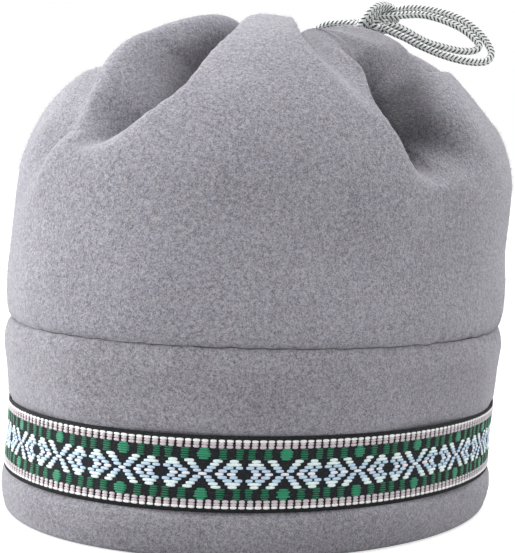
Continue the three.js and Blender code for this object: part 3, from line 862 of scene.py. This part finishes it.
def green_floats():
    for start, end, colour in GREEN_STACKS:
        for low, high in mirrored(start, end):
            for row in range(GREEN_ROWS):
                trim = GREEN_CORNER if row in (0, GREEN_ROWS - 1) and colour == GREEN else 0
                tall = GREEN_PITCH * (1 if colour == GREEN else NARROW_SHARE)
                height = GREEN_INNER + (row + 0.5) * GREEN_PITCH
                for side in (1, -1):
                    yield low + trim, high - trim, side * height, tall, colour


def bead_floats():
    for number in range(BEADS):
        middle = 100 * number / BEADS
        for height, tall, half, colour in BEAD_ROWS:
            for side in (1, -1):
                yield middle - half, middle + half, side * height, tall, colour


FLOATS_IN_A_REPEAT = [len(list(kind())) for kind in (motif_floats, green_floats, bead_floats)]
print("floats in a repeat:", FLOATS_IN_A_REPEAT, "and repeats:", REPEATS)

# %% [markdown]
# Thousands of floats of one shape that lie on a surface are work for Geometry Nodes: a point for each
# float with its size, its directions and its colour, and a tree that puts a small rounded thread on
# every point. The tree draws a little unevenness from a fixed seed, as hand and loom do.

# %% Tree that lays the floats
def new_tree(name, inputs):
    tree = bpy.data.node_groups.new(name, "GeometryNodeTree")
    tree.interface.new_socket(name="Geometry", in_out="INPUT", socket_type="NodeSocketGeometry")
    for label, kind, value in inputs:
        socket = tree.interface.new_socket(name=label, in_out="INPUT", socket_type=kind)
        if value is not None:
            socket.default_value = value
    tree.interface.new_socket(name="Geometry", in_out="OUTPUT", socket_type="NodeSocketGeometry")
    start, end = tree.nodes.new("NodeGroupInput"), tree.nodes.new("NodeGroupOutput")
    return tree, start.outputs, end.inputs


def named_vector(tree, name):
    """The vector that each point of the mesh carries under a name."""
    read = node(tree, "GeometryNodeInputNamedAttribute", {"Name": name}, data_type="FLOAT_VECTOR")
    return read.outputs["Attribute"]


def stand_on_points(tree, given, result, placing, smoothed):
    """The end of a tree: a shape on every point, made real mesh and given its material."""
    stood = node(tree, "GeometryNodeInstanceOnPoints", {"Points": given["Geometry"], **placing})
    real = node(tree, "GeometryNodeRealizeInstances", {"Geometry": stood.outputs["Instances"]})
    if smoothed:
        real = node(tree, "GeometryNodeSetShadeSmooth", {"Geometry": real.outputs["Geometry"]})
    painted = node(tree, "GeometryNodeSetMaterial", {
        "Geometry": real.outputs["Geometry"], "Material": given["Material"]})
    fill(tree, result, {"Geometry": painted.outputs["Geometry"]})


def build_float_tree():
    tree, given, result = new_tree("Lay thread floats", [
        ("Taper", "NodeSocketFloat", 0.40),
        ("Unevenness", "NodeSocketFloat", 0.08),
        ("Seed", "NodeSocketInt", 1),
        ("Material", "NodeSocketMaterial", None),
    ])
    rod = node(tree, "GeometryNodeMeshCylinder", {
        "Vertices": 8, "Side Segments": 4, "Radius": 1.0, "Depth": 2.0}, fill_type="NGON")
    lying = node(tree, "GeometryNodeTransform", {
        "Geometry": rod.outputs["Mesh"], "Rotation": (0, math.pi / 2, 0)})
    place = node(tree, "GeometryNodeInputPosition").outputs["Position"]
    split = node(tree, "ShaderNodeSeparateXYZ", {"Vector": place})
    to_end = math_node(tree, "POWER", math_node(tree, "ABSOLUTE", split.outputs["X"]), 3.0)
    width = math_node(tree, "SUBTRACT", 1.0, math_node(tree, "MULTIPLY", to_end, given["Taper"]))
    narrow = node(tree, "ShaderNodeCombineXYZ", {
        "X": split.outputs["X"],
        "Y": math_node(tree, "MULTIPLY", split.outputs["Y"], width),
        "Z": math_node(tree, "MULTIPLY", split.outputs["Z"], width)})
    shaped = node(tree, "GeometryNodeSetPosition", {
        "Geometry": lying.outputs["Geometry"], "Position": narrow.outputs["Vector"]})
    kept = node(tree, "GeometryNodeStoreNamedAttribute", {
        "Geometry": shaped.outputs["Geometry"], "Name": "thread_place", "Value": place},
        data_type="FLOAT_VECTOR", domain="POINT")
    turned = node(tree, "FunctionNodeAxesToRotation", {
        "Primary Axis": named_vector(tree, "tangent"), "Secondary Axis": named_vector(tree, "normal")},
        primary_axis="X", secondary_axis="Z")
    uneven = node(tree, "FunctionNodeRandomValue", {
        "Min": math_node(tree, "SUBTRACT", 1.0, given["Unevenness"]),
        "Max": math_node(tree, "ADD", 1.0, given["Unevenness"]),
        "Seed": given["Seed"]}, data_type="FLOAT_VECTOR")
    size = node(tree, "ShaderNodeVectorMath", {
        0: named_vector(tree, "size"), 1: uneven.outputs["Value"]}, operation="MULTIPLY")
    placing = {"Instance": kept.outputs["Geometry"], "Rotation": turned.outputs["Rotation"],
               "Scale": size.outputs["Vector"]}
    stand_on_points(tree, given, result, placing, smoothed=True)
    return tree


FLOAT_TREE = build_float_tree()
print("float tree:", len(FLOAT_TREE.nodes), "nodes")


def run_tree(name, tree, source_mesh, inputs):
    """Run a node tree on a mesh and keep the result as a plain mesh object."""
    carrier = bpy.data.objects.new(name + "_source", source_mesh)
    bpy.context.scene.collection.objects.link(carrier)
    modifier = carrier.modifiers.new("tree", "NODES")
    modifier.node_group = tree
    for socket in tree.interface.items_tree:
        if socket.in_out == "INPUT" and socket.name in inputs:
            modifier[socket.identifier] = inputs[socket.name]
    evaluated = carrier.evaluated_get(bpy.context.evaluated_depsgraph_get())
    mesh = bpy.data.meshes.new_from_object(evaluated)
    mesh.name = name
    piece = bpy.data.objects.new(name, mesh)
    bpy.context.scene.collection.objects.link(piece)
    bpy.data.objects.remove(carrier)
    return piece


# %% [markdown]
# A thread is a bundle of fine filaments, so its finish has lines along it and a silky light across
# them. The thread's colour rides on the mesh, which lets one material serve every colour of the chart.

# %% Thread finish
FILAMENTS, FILAMENT_SHADE, FILAMENT_HEIGHT = 9.0, 0.10, 0.00006
DYE_SCALE, DYE_SPREAD, DYE_LEVEL = 1800.0, 0.42, 0.77


def thread_material():
    material, tree, finish = material_named("ribbon thread")
    colour = node(tree, "ShaderNodeAttribute", attribute_name="thread_colour")
    local = node(tree, "ShaderNodeAttribute", attribute_name="thread_place")
    split = node(tree, "ShaderNodeSeparateXYZ", {"Vector": local.outputs["Vector"]})
    angle = math_node(tree, "ARCTAN2", split.outputs["Z"], split.outputs["Y"])
    strands = math_node(tree, "SINE", math_node(tree, "MULTIPLY", angle, FILAMENTS))
    place = node(tree, "ShaderNodeTexCoord").outputs["Object"]
    noise = node(tree, "ShaderNodeTexNoise", {"Vector": place, "Scale": DYE_SCALE})
    shade = math_node(tree, "MULTIPLY_ADD", noise.outputs["Fac"], DYE_SPREAD, DYE_LEVEL)
    shade = math_node(tree, "MULTIPLY_ADD", strands, FILAMENT_SHADE, shade)
    fill(tree, finish, {
        "Base Color": scaled(tree, colour.outputs["Color"], shade),
        "Normal": bumped(tree, strands, 0.4, FILAMENT_HEIGHT),
        "Roughness": 0.45,
        "Specular IOR Level": 0.3,
        "Sheen Weight": 0.05,
    })
    return material


THREAD = thread_material()
print("material:", THREAD.name)

# %% [markdown]
# The chart is laid three times, once for each kind of thread, since the greens vary more than the rest.
# Each float becomes a point on the ribbon's face, and the point carries all that the tree has to know.
# Half a thread is a little more than half its row, so that neighbours touch as they do in weaving.

# %% Lay the three kinds of float
HALF_THREAD = 0.53
NUDGE = 1e-4


def floats_mesh(name, floats, thickness):
    """Points for the tree: one at each float of every repeat, with its size, directions and colour."""
    rows = np.array([(low, high, height, tall, *colour) for low, high, height, tall, colour in floats])
    starts = PATTERN_START + REPEAT * np.arange(REPEATS)[:, None]
    middle = (starts + REPEAT * (rows[:, 0] + rows[:, 1]) / 200).reshape(-1)
    height = np.tile(RIBBON_WIDTH / 2 + rows[:, 2], REPEATS)
    top = GAP + RIBBON_THICK
    place = ribbon_place(middle, height, top)
    tangent = ribbon_place(middle + NUDGE, height, top) - ribbon_place(middle - NUDGE, height, top)
    upward = ribbon_place(middle, height + NUDGE, top) - ribbon_place(middle, height - NUDGE, top)
    normal = np.cross(tangent, upward)
    size = np.stack([REPEAT * (rows[:, 1] - rows[:, 0]) / 200, rows[:, 3] * HALF_THREAD,
                     np.full(len(rows), thickness)], -1)
    mesh = bpy.data.meshes.new(name)
    mesh.from_pydata(place, [], [])
    carry(mesh, "tangent", tangent)
    carry(mesh, "normal", normal)
    carry(mesh, "size", np.tile(size, (REPEATS, 1)))
    colours = np.tile(np.concatenate([rows[:, 4:7], np.ones((len(rows), 1))], 1), (REPEATS, 1))
    dye = mesh.attributes.new("thread_colour", "FLOAT_COLOR", "POINT")
    dye.data.foreach_set("color", colours.reshape(-1))
    return mesh


def lay_floats(name, floats, thickness, unevenness, seed):
    mesh = floats_mesh(name + "_points", floats, thickness)
    inputs = {"Unevenness": unevenness, "Seed": seed, "Material": THREAD}
    piece = run_tree(name, FLOAT_TREE, mesh, inputs)
    print(name, len(piece.data.polygons), "faces")
    return piece


motif = lay_floats("ribbon_motif", motif_floats(), 0.00028, 0.07, 1)
greens = lay_floats("ribbon_green", green_floats(), 0.00024, 0.14, 2)
beads = lay_floats("ribbon_beads", bead_floats(), 0.00030, 0.10, 3)

# %% [markdown]
# Brushing leaves loose fibre ends that stand off the cloth, and against the light they soften its
# outline. A hair system would leave them out of the mesh, so a second node tree stands a small cone on
# each of many points instead. The points are drawn from the cloth's own grid with a fixed seed.

# %% Loose fibres
FIBRE_COUNTS = {"crown": 44000, "band": 13000}
FIBRE_LENGTH, FIBRE_RADIUS = 0.0010, 0.000028
SHORTEST, LONGEST = 0.45, 1.25
DARKEST_FIBRE, LIGHTEST_FIBRE = 0.15, 0.95
LEAN_SPREAD, LEAST_OUTWARD = 0.75, 0.15
BARE_RIM_ROWS = 4


def build_fibre_tree():
    tree, given, result = new_tree("Stand fibres", [("Material", "NodeSocketMaterial", None)])
    cone = node(tree, "GeometryNodeMeshCone", {
        "Vertices": 3, "Radius Top": 0.0, "Radius Bottom": 1.0, "Depth": 1.0})
    turned = node(tree, "FunctionNodeAxesToRotation", {"Primary Axis": named_vector(tree, "lean")},
                  primary_axis="Z", secondary_axis="X")
    placing = {"Instance": cone.outputs["Mesh"], "Rotation": turned.outputs["Rotation"],
               "Scale": named_vector(tree, "size")}
    stand_on_points(tree, given, result, placing, smoothed=False)
    return tree


def fibre_material():
    material, tree, finish = material_named("loose fibre")
    # Each fibre's grey comes from a random tone, darkened by the painted fold shade of the cloth under it
    shade = node(tree, "ShaderNodeAttribute", attribute_name="fibre_tone_and_painted_shade").outputs["Fac"]
    colour = mix_colour(tree, shade, (0.16, 0.155, 0.18, 1), (0.62, 0.61, 0.65, 1))
    fill(tree, finish, {"Base Color": colour, "Roughness": 0.8, "Specular IOR Level": 0.2})
    return material


def scattered(grid, count, draw, shades):
    """Places on a grid that closes round, its outward directions there and the painted fold shade of the
    cloth.
    """
    beside = np.roll(grid, -1, 1)
    cross = np.cross(beside[:-1] - grid[:-1], grid[1:] - grid[:-1])
    area = np.linalg.norm(cross, axis=-1)
    cell = draw.choice(area.size, count, p=area.ravel() / area.sum())
    row, column = np.divmod(cell, grid.shape[1])
    up, over = draw.uniform(0, 1, (2, count, 1))
    low = grid[row, column] * (1 - over) + beside[row, column] * over
    high = grid[row + 1, column] * (1 - over) + beside[row + 1, column] * over
    normals = cross[row, column] / area[row, column][:, None]
    return low * (1 - up) + high * up, normals, shades[row, column]


def stand_fibres(name, grid, shades, count, seed):
    draw = np.random.default_rng(seed)
    places, normals, cloth_painted_shade = scattered(grid, count, draw, shades)
    lean = normals + draw.normal(0, LEAN_SPREAD, normals.shape)
    inward = np.minimum((lean * normals).sum(1) - LEAST_OUTWARD, 0)
    lean = lean - inward[:, None] * normals
    length = FIBRE_LENGTH * draw.uniform(SHORTEST, LONGEST, count)
    size = np.stack([np.full(count, FIBRE_RADIUS), np.full(count, FIBRE_RADIUS), length], -1)
    mesh = bpy.data.meshes.new(name + "_points")
    mesh.from_pydata(places, [], [])
    carry(mesh, "lean", lean)
    carry(mesh, "size", size)
    # Random tone of each fibre, darkened by the painted fold shade of the cloth under it
    shade = draw.uniform(DARKEST_FIBRE, LIGHTEST_FIBRE, count) * (1 - cloth_painted_shade)
    carry(mesh, "fibre_tone_and_painted_shade", shade)
    piece = run_tree(name, FIBRE_TREE, mesh, {"Material": FIBRE})
    print(name, len(piece.data.polygons), "faces")
    return piece


FIBRE_TREE = build_fibre_tree()
FIBRE = fibre_material()
crown_open = crown_outer[:-BARE_RIM_ROWS]
crown_fuzz = stand_fibres("crown_fuzz", crown_open, crown_painted_shades, FIBRE_COUNTS["crown"], 21)
band_fuzz = []
for name, low, high, seed in (("upper", RIBBON_LOW + RIBBON_WIDTH, 1, 22), ("lower", 0, RIBBON_LOW, 23)):
    bare = band_outer[(band_outer[:, 0, 2] > low) & (band_outer[:, 0, 2] < high)]
    count = FIBRE_COUNTS["band"] * len(bare) // len(band_outer)
    band_fuzz.append(stand_fibres("band_fuzz_" + name, bare, np.zeros(bare.shape[:2]), count, seed))

# %% [markdown]
# The drawcord is one round braided elastic. It leaves the casing, runs over the folds to the knot,
# makes a loop out and back, turns in the knot, makes the loop once more inside the first and runs back
# into the casing. Its route is a list of given points, the same that the solid model follows.

# %% Route of the drawcord
# How far out along the loop, how far back and how high each point lies
CORD = 0.0025
CORD_SPACING = 0.0003
SAMPLES_PER_POINT = 60
LEAD = [
    (0.0130, -0.0005, 0.1466), (0.0126, -0.0006, 0.1500), (0.0129, -0.0007, 0.1534),
    (0.0146, -0.0008, 0.1564), (0.0184, -0.0010, 0.1588), (0.0234, -0.0014, 0.1594),
    (0.0302, -0.0015, 0.1596),
]
OUTER_LOOP = [
    (0.0403, 0.0025, 0.1643), (0.0475, 0.0036, 0.1658), (0.0562, 0.0030, 0.1649),
    (0.0636, 0.0022, 0.1625), (0.0690, 0.0012, 0.1587), (0.0724, 0.0000, 0.1546),
    (0.0735, -0.0014, 0.1514), (0.0720, -0.0026, 0.1491), (0.0686, -0.0032, 0.1484),
    (0.0629, -0.0038, 0.1489), (0.0562, -0.0040, 0.1506), (0.0494, -0.0041, 0.1531),
    (0.0446, -0.0039, 0.1554), (0.0393, -0.0032, 0.1576),
]
IN_KNOT = [(0.0352, -0.0022, 0.1598), (0.0352, -0.0006, 0.1622)]
INNER_LOOP = [
    (0.0411, -0.0004, 0.1628), (0.0494, 0.0007, 0.1636), (0.0561, 0.0006, 0.1624),
    (0.0628, 0.0000, 0.1598), (0.0672, -0.0005, 0.1568), (0.0692, -0.0010, 0.1543),
    (0.0679, -0.0014, 0.1524), (0.0636, -0.0014, 0.1520), (0.0579, -0.0013, 0.1530),
    (0.0512, -0.0011, 0.1548), (0.0410, -0.0008, 0.1595),
]
LEAD_BACK = [
    (0.0308, 0.0020, 0.1602), (0.0234, 0.0023, 0.1598), (0.0184, 0.0024, 0.1589),
    (0.0146, 0.0025, 0.1564), (0.0129, 0.0026, 0.1534), (0.0126, 0.0026, 0.1500),
    (0.0130, 0.0026, 0.1466),
]


def placed(rows):
    """Points of the hat's own frame from rows of out, back and up."""
    rows = np.array(rows)
    return rows[:, :1] * OUT + rows[:, 1:2] * BACK + rows[:, 2:] * (0, 0, 1)


def smooth_path(points):
    """A smooth line through the points, sampled at even distances, and its length."""
    steps = np.linspace(0, len(points) - 1, SAMPLES_PER_POINT * len(points))
    fine = np.stack([along(np.array(points)[:, k], steps) for k in range(3)], -1)
    lengths = np.concatenate([[0], np.cumsum(np.linalg.norm(np.diff(fine, axis=0), axis=1))])
    count = max(2, int(round(lengths[-1] / CORD_SPACING)))
    even = np.linspace(0, lengths[-1], count + 1)
    return np.stack([np.interp(even, lengths, fine[:, k]) for k in range(3)], -1), lengths[-1]


CORD_PATH, CORD_LENGTH = smooth_path(placed(LEAD + OUTER_LOOP + IN_KNOT + INNER_LOOP + LEAD_BACK))
print("drawcord outside the casing:", round(CORD_LENGTH * 1000), "mm")

# %% [markdown]
# The cord is a pale braid with a dark tracer. In a braid the strands spiral both ways, so on the cord
# the tracer shows as a row of dark chevrons that point along it. One rule of the place round the cord
# and the length along it gives the chevrons, and a finer one with the same slant gives the relief.

# %% Braided cord
CHEVRON_PITCH = 0.00135
CHEVRONS_ROUND = 2
CHEVRON_SLANT = 1.7
CHEVRON_SHARE = 0.43
CHEVRON_GAP = 0.035
CHEVRON_RAGGED = 0.3
BRAID_PITCH = 0.0060
STRANDS = 6
CORD_SIDES = 28
BRAID_RELIEF, RIB_HEIGHT = 0.00008, 0.0001
WORN_SCALE, WORN_SPREAD, WORN_LEVEL = 2600.0, 0.35, 0.8
PALE_STRAND, DARK_STRAND = (0.86, 0.88, 0.87, 1), (0.018, 0.034, 0.031, 1)
FIRST_SIDE = (0.3, 0.2, 0.9)


def braid_relief(around, length):
    """How far the strands stand out of the cord, from -1 to 1, around and along it."""
    a = STRANDS * (around + length / BRAID_PITCH)
    b = STRANDS * (around - length / BRAID_PITCH)
    return np.sin(np.pi * a) * np.sin(np.pi * b)


def carried_frames(path):
    """Two directions across a path at each point, carried along it without twist."""
    tangents = np.gradient(path, axis=0)
    tangents /= np.linalg.norm(tangents, axis=1, keepdims=True)
    side = np.cross(tangents[0], FIRST_SIDE)
    sides = []
    for tangent in tangents:
        side = side - tangent * side.dot(tangent)
        side = side / np.linalg.norm(side)
        sides.append(side)
    sides = np.array(sides)
    return sides, np.cross(tangents, sides)


def braid_material():
    material, tree, finish = material_named("cord braid")
    uv = node(tree, "ShaderNodeUVMap", uv_map="UVMap").outputs["UV"]
    split = node(tree, "ShaderNodeSeparateXYZ", {"Vector": uv})
    turns = math_node(tree, "MULTIPLY", split.outputs["X"], float(CHEVRONS_ROUND))
    wave = math_node(tree, "ABSOLUTE", math_node(tree, "SUBTRACT", math_node(tree, "FRACT", turns), 0.5))
    pitches = math_node(tree, "DIVIDE", split.outputs["Y"], CHEVRON_PITCH)
    place = math_node(tree, "MULTIPLY_ADD", wave, CHEVRON_SLANT, pitches)
    hat_place = node(tree, "ShaderNodeTexCoord").outputs["Object"]
    noise = node(tree, "ShaderNodeTexNoise", {"Vector": hat_place, "Scale": WORN_SCALE, "Detail": 1.0})
    ragged = math_node(tree, "MULTIPLY_ADD", noise.outputs["Fac"], CHEVRON_RAGGED, place)
    mask = math_node(tree, "LESS_THAN", math_node(tree, "FRACT", ragged), CHEVRON_SHARE)
    for edge, side in ((CHEVRON_GAP, "GREATER_THAN"), (0.5 - CHEVRON_GAP, "LESS_THAN")):
        mask = math_node(tree, "MULTIPLY", mask, math_node(tree, side, wave, edge))
    dyed = mix_colour(tree, mask, PALE_STRAND, DARK_STRAND)
    shade = math_node(tree, "MULTIPLY_ADD", noise.outputs["Fac"], WORN_SPREAD, WORN_LEVEL)
    ribs = math_node(tree, "SINE", math_node(tree, "MULTIPLY", place, 4 * math.pi))
    fill(tree, finish, {
        "Base Color": scaled(tree, dyed, shade),
        "Normal": bumped(tree, ribs, 0.5, RIB_HEIGHT),
        "Roughness": 0.5,
    })
    return material


BRAID = braid_material()


def make_tube(name, path):
    """A closed tube along a path, with flat ends, the braid's relief and a map of round and along."""
    side, other = carried_frames(path)
    steps = np.concatenate([[0], np.cumsum(np.linalg.norm(np.diff(path, axis=0), axis=1))])
    sides = CORD_SIDES
    around = np.arange(sides) / sides
    lift = BRAID_RELIEF * braid_relief(around[None, :], steps[:, None])
    radius = CORD / 2 - BRAID_RELIEF + lift
    turn = 2 * np.pi * around
    ring = side[:, None] * np.cos(turn)[:, None] + other[:, None] * np.sin(turn)[:, None]
    points = (path[:, None] + ring * radius[..., None]).reshape(-1, 3)
    ends = [path[0], path[-1]]
    faces = [tuple(face) for face in grid_faces(len(path), sides, close_rows=False)]
    first, last = len(points), len(points) + 1
    top = (len(path) - 1) * sides
    faces += [(first, (j + 1) % sides, j) for j in range(sides)]
    faces += [(last, top + j, top + (j + 1) % sides) for j in range(sides)]
    piece = make_object(name, np.concatenate([points, ends]), faces, BRAID)
    layer = piece.data.uv_layers.new(name="UVMap")
    uv = np.zeros((len(piece.data.loops), 2))
    rows = np.repeat(np.arange(len(path) - 1), sides)
    columns = np.tile(np.arange(sides), len(path) - 1)
    body = uv[:4 * len(rows)].reshape(-1, 4, 2)
    for corner, (row, column) in enumerate([(0, 0), (0, 1), (1, 1), (1, 0)]):
        body[:, corner, 0] = (columns + column) / sides
        body[:, corner, 1] = steps[rows + row]
    uv[4 * len(rows):, 1] = steps[-1]
    layer.data.foreach_set("uv", uv.reshape(-1))
    return piece


cord = make_tube("drawcord", CORD_PATH)
print("drawcord:", len(cord.data.polygons), "faces")

# %% [markdown]
# In the knot the doubled cord climbs over the strands of the loop, from the side of the casing to the
# top, and comes round underneath. A knot could be simulated, but at this size only the turn in front
# shows. Two strands that lie side by side follow one route here, a cord's breadth apart.

# %% Knot
KNOT_TURN = [
    (0.0286, -0.0010, 0.1576), (0.0293, -0.0034, 0.1579), (0.0303, -0.0050, 0.1593),
    (0.0317, -0.0052, 0.1615), (0.0334, -0.0044, 0.1638), (0.0358, -0.0026, 0.1653),
    (0.0382, -0.0004, 0.1657), (0.0403, 0.0016, 0.1651), (0.0413, 0.0034, 0.1637),
    (0.0409, 0.0040, 0.1618), (0.0394, 0.0022, 0.1597), (0.0375, -0.0010, 0.1586),
    (0.0354, -0.0034, 0.1582), (0.0336, -0.0030, 0.1585), (0.0324, -0.0006, 0.1594),
]
SIDE_BY_SIDE = [(-0.0004, -0.0008, 0.0003), (0.0006, 0.0013, -0.0006)]
knots = []
for number, shift in enumerate(SIDE_BY_SIDE):
    route, strand_length = smooth_path(placed(np.array(KNOT_TURN) + shift))
    knots.append(make_tube("knot_wrap_%d" % (number + 1), route))
    print("knot strand:", round(strand_length * 1000), "mm")

# %% [markdown]
# The stretch of cord inside the casing is hidden by the fleece, so the solid's own mesh is enough
# there. It gets the colour of the cord from its place instead of a map.

# %% Cord inside the casing
TRACER_SCALE, TRACER_UP_TO, PALE_FROM = 1400.0, 0.38, 0.44


def plain_cord_material():
    material, tree, finish = material_named("cord in the casing")
    place = node(tree, "ShaderNodeTexCoord").outputs["Object"]
    noise = node(tree, "ShaderNodeTexNoise", {"Vector": place, "Scale": TRACER_SCALE})
    ramp = node(tree, "ShaderNodeValToRGB", {"Fac": noise.outputs["Fac"]})
    ramp.color_ramp.elements[0].position = TRACER_UP_TO
    ramp.color_ramp.elements[0].color = (0.05, 0.08, 0.075, 1)
    ramp.color_ramp.elements[1].position = PALE_FROM
    ramp.color_ramp.elements[1].color = (0.74, 0.76, 0.75, 1)
    fill(tree, finish, {"Base Color": ramp.outputs["Color"], "Roughness": 0.5})
    return material


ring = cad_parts["drawcord_ring"]
ring.data.materials.clear()
ring.data.materials.append(plain_cord_material())
print("cord inside the casing:", len(ring.data.polygons), "faces of the solid model")

# %% [markdown]
# The picture was taken against white, in soft light from all around that is brightest behind and to
# the left. A ring of lamps could stand in for that. A world whose brightness depends on the direction
# gives the same light without a lamp's hard edges, and two wide lamps add what little direction is left.

# %% Floor and light
# Half the breadth and half the length of the floor that the hat covers
FOOTPRINT = (0.074, 0.094)
FLOOR_HALF = 6.0
FLOOR_GLOW = 0.62


def make_floor():
    """A floor that shines as white as the backdrop, though not under the hat."""
    material, tree, finish = material_named("floor")
    seen = node(tree, "ShaderNodeLightPath").outputs["Is Camera Ray"]
    oval = (1 / FOOTPRINT[0], 1 / FOOTPRINT[1], 0)
    place = node(tree, "ShaderNodeTexCoord").outputs["Object"]
    spread = node(tree, "ShaderNodeVectorMath", {0: place, 1: oval}, operation="MULTIPLY").outputs["Vector"]
    away = node(tree, "ShaderNodeVectorMath", {0: spread}, operation="LENGTH").outputs["Value"]
    outside = math_node(tree, "GREATER_THAN", away, 1.0)
    glow = math_node(tree, "MULTIPLY", math_node(tree, "MULTIPLY", seen, outside), FLOOR_GLOW)
    fill(tree, finish, {
        "Base Color": (0.6, 0.6, 0.6, 1),
        "Roughness": 0.9,
        "Emission Color": (1, 1, 1, 1),
        "Emission Strength": glow,
    })
    half = FLOOR_HALF
    points = [(-half, -half, 0), (half, -half, 0), (half, half, 0), (-half, half, 0)]
    floor = make_object("floor", points, [(0, 1, 2, 3)], material)


def add_light(name, place, target, size, power):
    data = bpy.data.lights.new(name, "AREA")
    data.shape = "DISK"
    data.size = size
    data.energy = power
    light = bpy.data.objects.new(name, data)
    light.location = place
    aim = Vector(target) - Vector(place)
    light.rotation_euler = aim.to_track_quat("-Z", "Y").to_euler()
    bpy.context.scene.collection.objects.link(light)


make_floor()
MIDDLE = (0, 0, 0.08)
add_light("left light", (-1.15, -0.35, 0.35), MIDDLE, 0.7, 8)
add_light("top light", (0.25, 0.35, 1.25), MIDDLE, 0.8, 2.5)
print("floor", 2 * FLOOR_HALF, "m wide and two lights")

# %% [markdown]
# The world's light comes from a rule of direction alone. The wall behind and to the left is bright, and
# the room on the side that the picture was taken from is dim. A camera ray sees plain white instead, as
# the picture's background is, so the light can be tuned without turning the background grey.

# %% World
AMBIENT = 1.55
DIM_SHARE, DIM_FROM, DIM_FULL = 0.56, 0.42, 0.9
BRIGHTER_TOWARDS = -0.35 * OUT + 0.30 * BACK + np.array((0, 0, 0.05))
world = bpy.data.worlds.new("studio")
bpy.context.scene.world = world
world.use_nodes = True
studio = world.node_tree
way = node(studio, "ShaderNodeTexCoord").outputs["Generated"]
slant = node(studio, "ShaderNodeVectorMath", {0: way, 1: tuple(BRIGHTER_TOWARDS)}, operation="DOT_PRODUCT")
ahead = node(studio, "ShaderNodeVectorMath", {0: way, 1: tuple(-BACK)}, operation="DOT_PRODUCT")
dim = node(studio, "ShaderNodeMapRange", {"Value": ahead.outputs["Value"], "From Min": DIM_FROM,
                                          "From Max": DIM_FULL, "To Min": 1.0, "To Max": 1.0 - DIM_SHARE},
           interpolation_type="SMOOTHSTEP")
level = math_node(studio, "MULTIPLY_ADD", slant.outputs["Value"], AMBIENT, AMBIENT)
level = math_node(studio, "MULTIPLY", level, dim.outputs["Result"])
soft = studio.nodes["Background"]
fill(studio, soft.inputs, {"Color": (1, 1, 1, 1), "Strength": level})
plain = node(studio, "ShaderNodeBackground", {"Color": (1, 1, 1, 1), "Strength": 1.0})
seen = node(studio, "ShaderNodeLightPath").outputs["Is Camera Ray"]
mix = node(studio, "ShaderNodeMixShader", {0: seen, 1: soft.outputs[0], 2: plain.outputs[0]})
fill(studio, studio.nodes["World Output"].inputs, {"Surface": mix.outputs[0]})
bpy.context.scene.view_settings.view_transform = "Standard"
print("world light", AMBIENT, "at the middle,", round(AMBIENT * (1 - DIM_SHARE), 2), "where it is dim")

# %% [markdown]
# Last, every piece is hung on the one body of the hat, and the solids that a piece stands for are
# hidden. The threads, the knot and the loose fibres ride on that body with the piece that carries them.

# %% Tie everything to the solid model
PIECES = [
    (crown, "fleece", ("crown",)),
    (band, "fleece", ("band",)),
    (ribbon, "ribbon", ("ribbon",)),
    (motif, "ribbon", ()),
    (greens, "ribbon", ()),
    (beads, "ribbon", ()),
    (cord, "cord", ("drawcord_lead", "drawcord_return", "drawcord_loop_outer", "drawcord_loop_inner")),
    (knots[0], "cord", ("knot",)),
    (knots[1], "cord", ()),
    (crown_fuzz, "fleece", ()),
    (band_fuzz[0], "fleece", ()),
    (band_fuzz[1], "fleece", ()),
]
for piece, slot, nodes in PIECES:
    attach(piece, "root")
    if nodes:
        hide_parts(*nodes)

triangles = sum(len(face.vertices) - 2 for piece, _, _ in PIECES for face in piece.data.polygons)
print("triangles in all:", triangles)
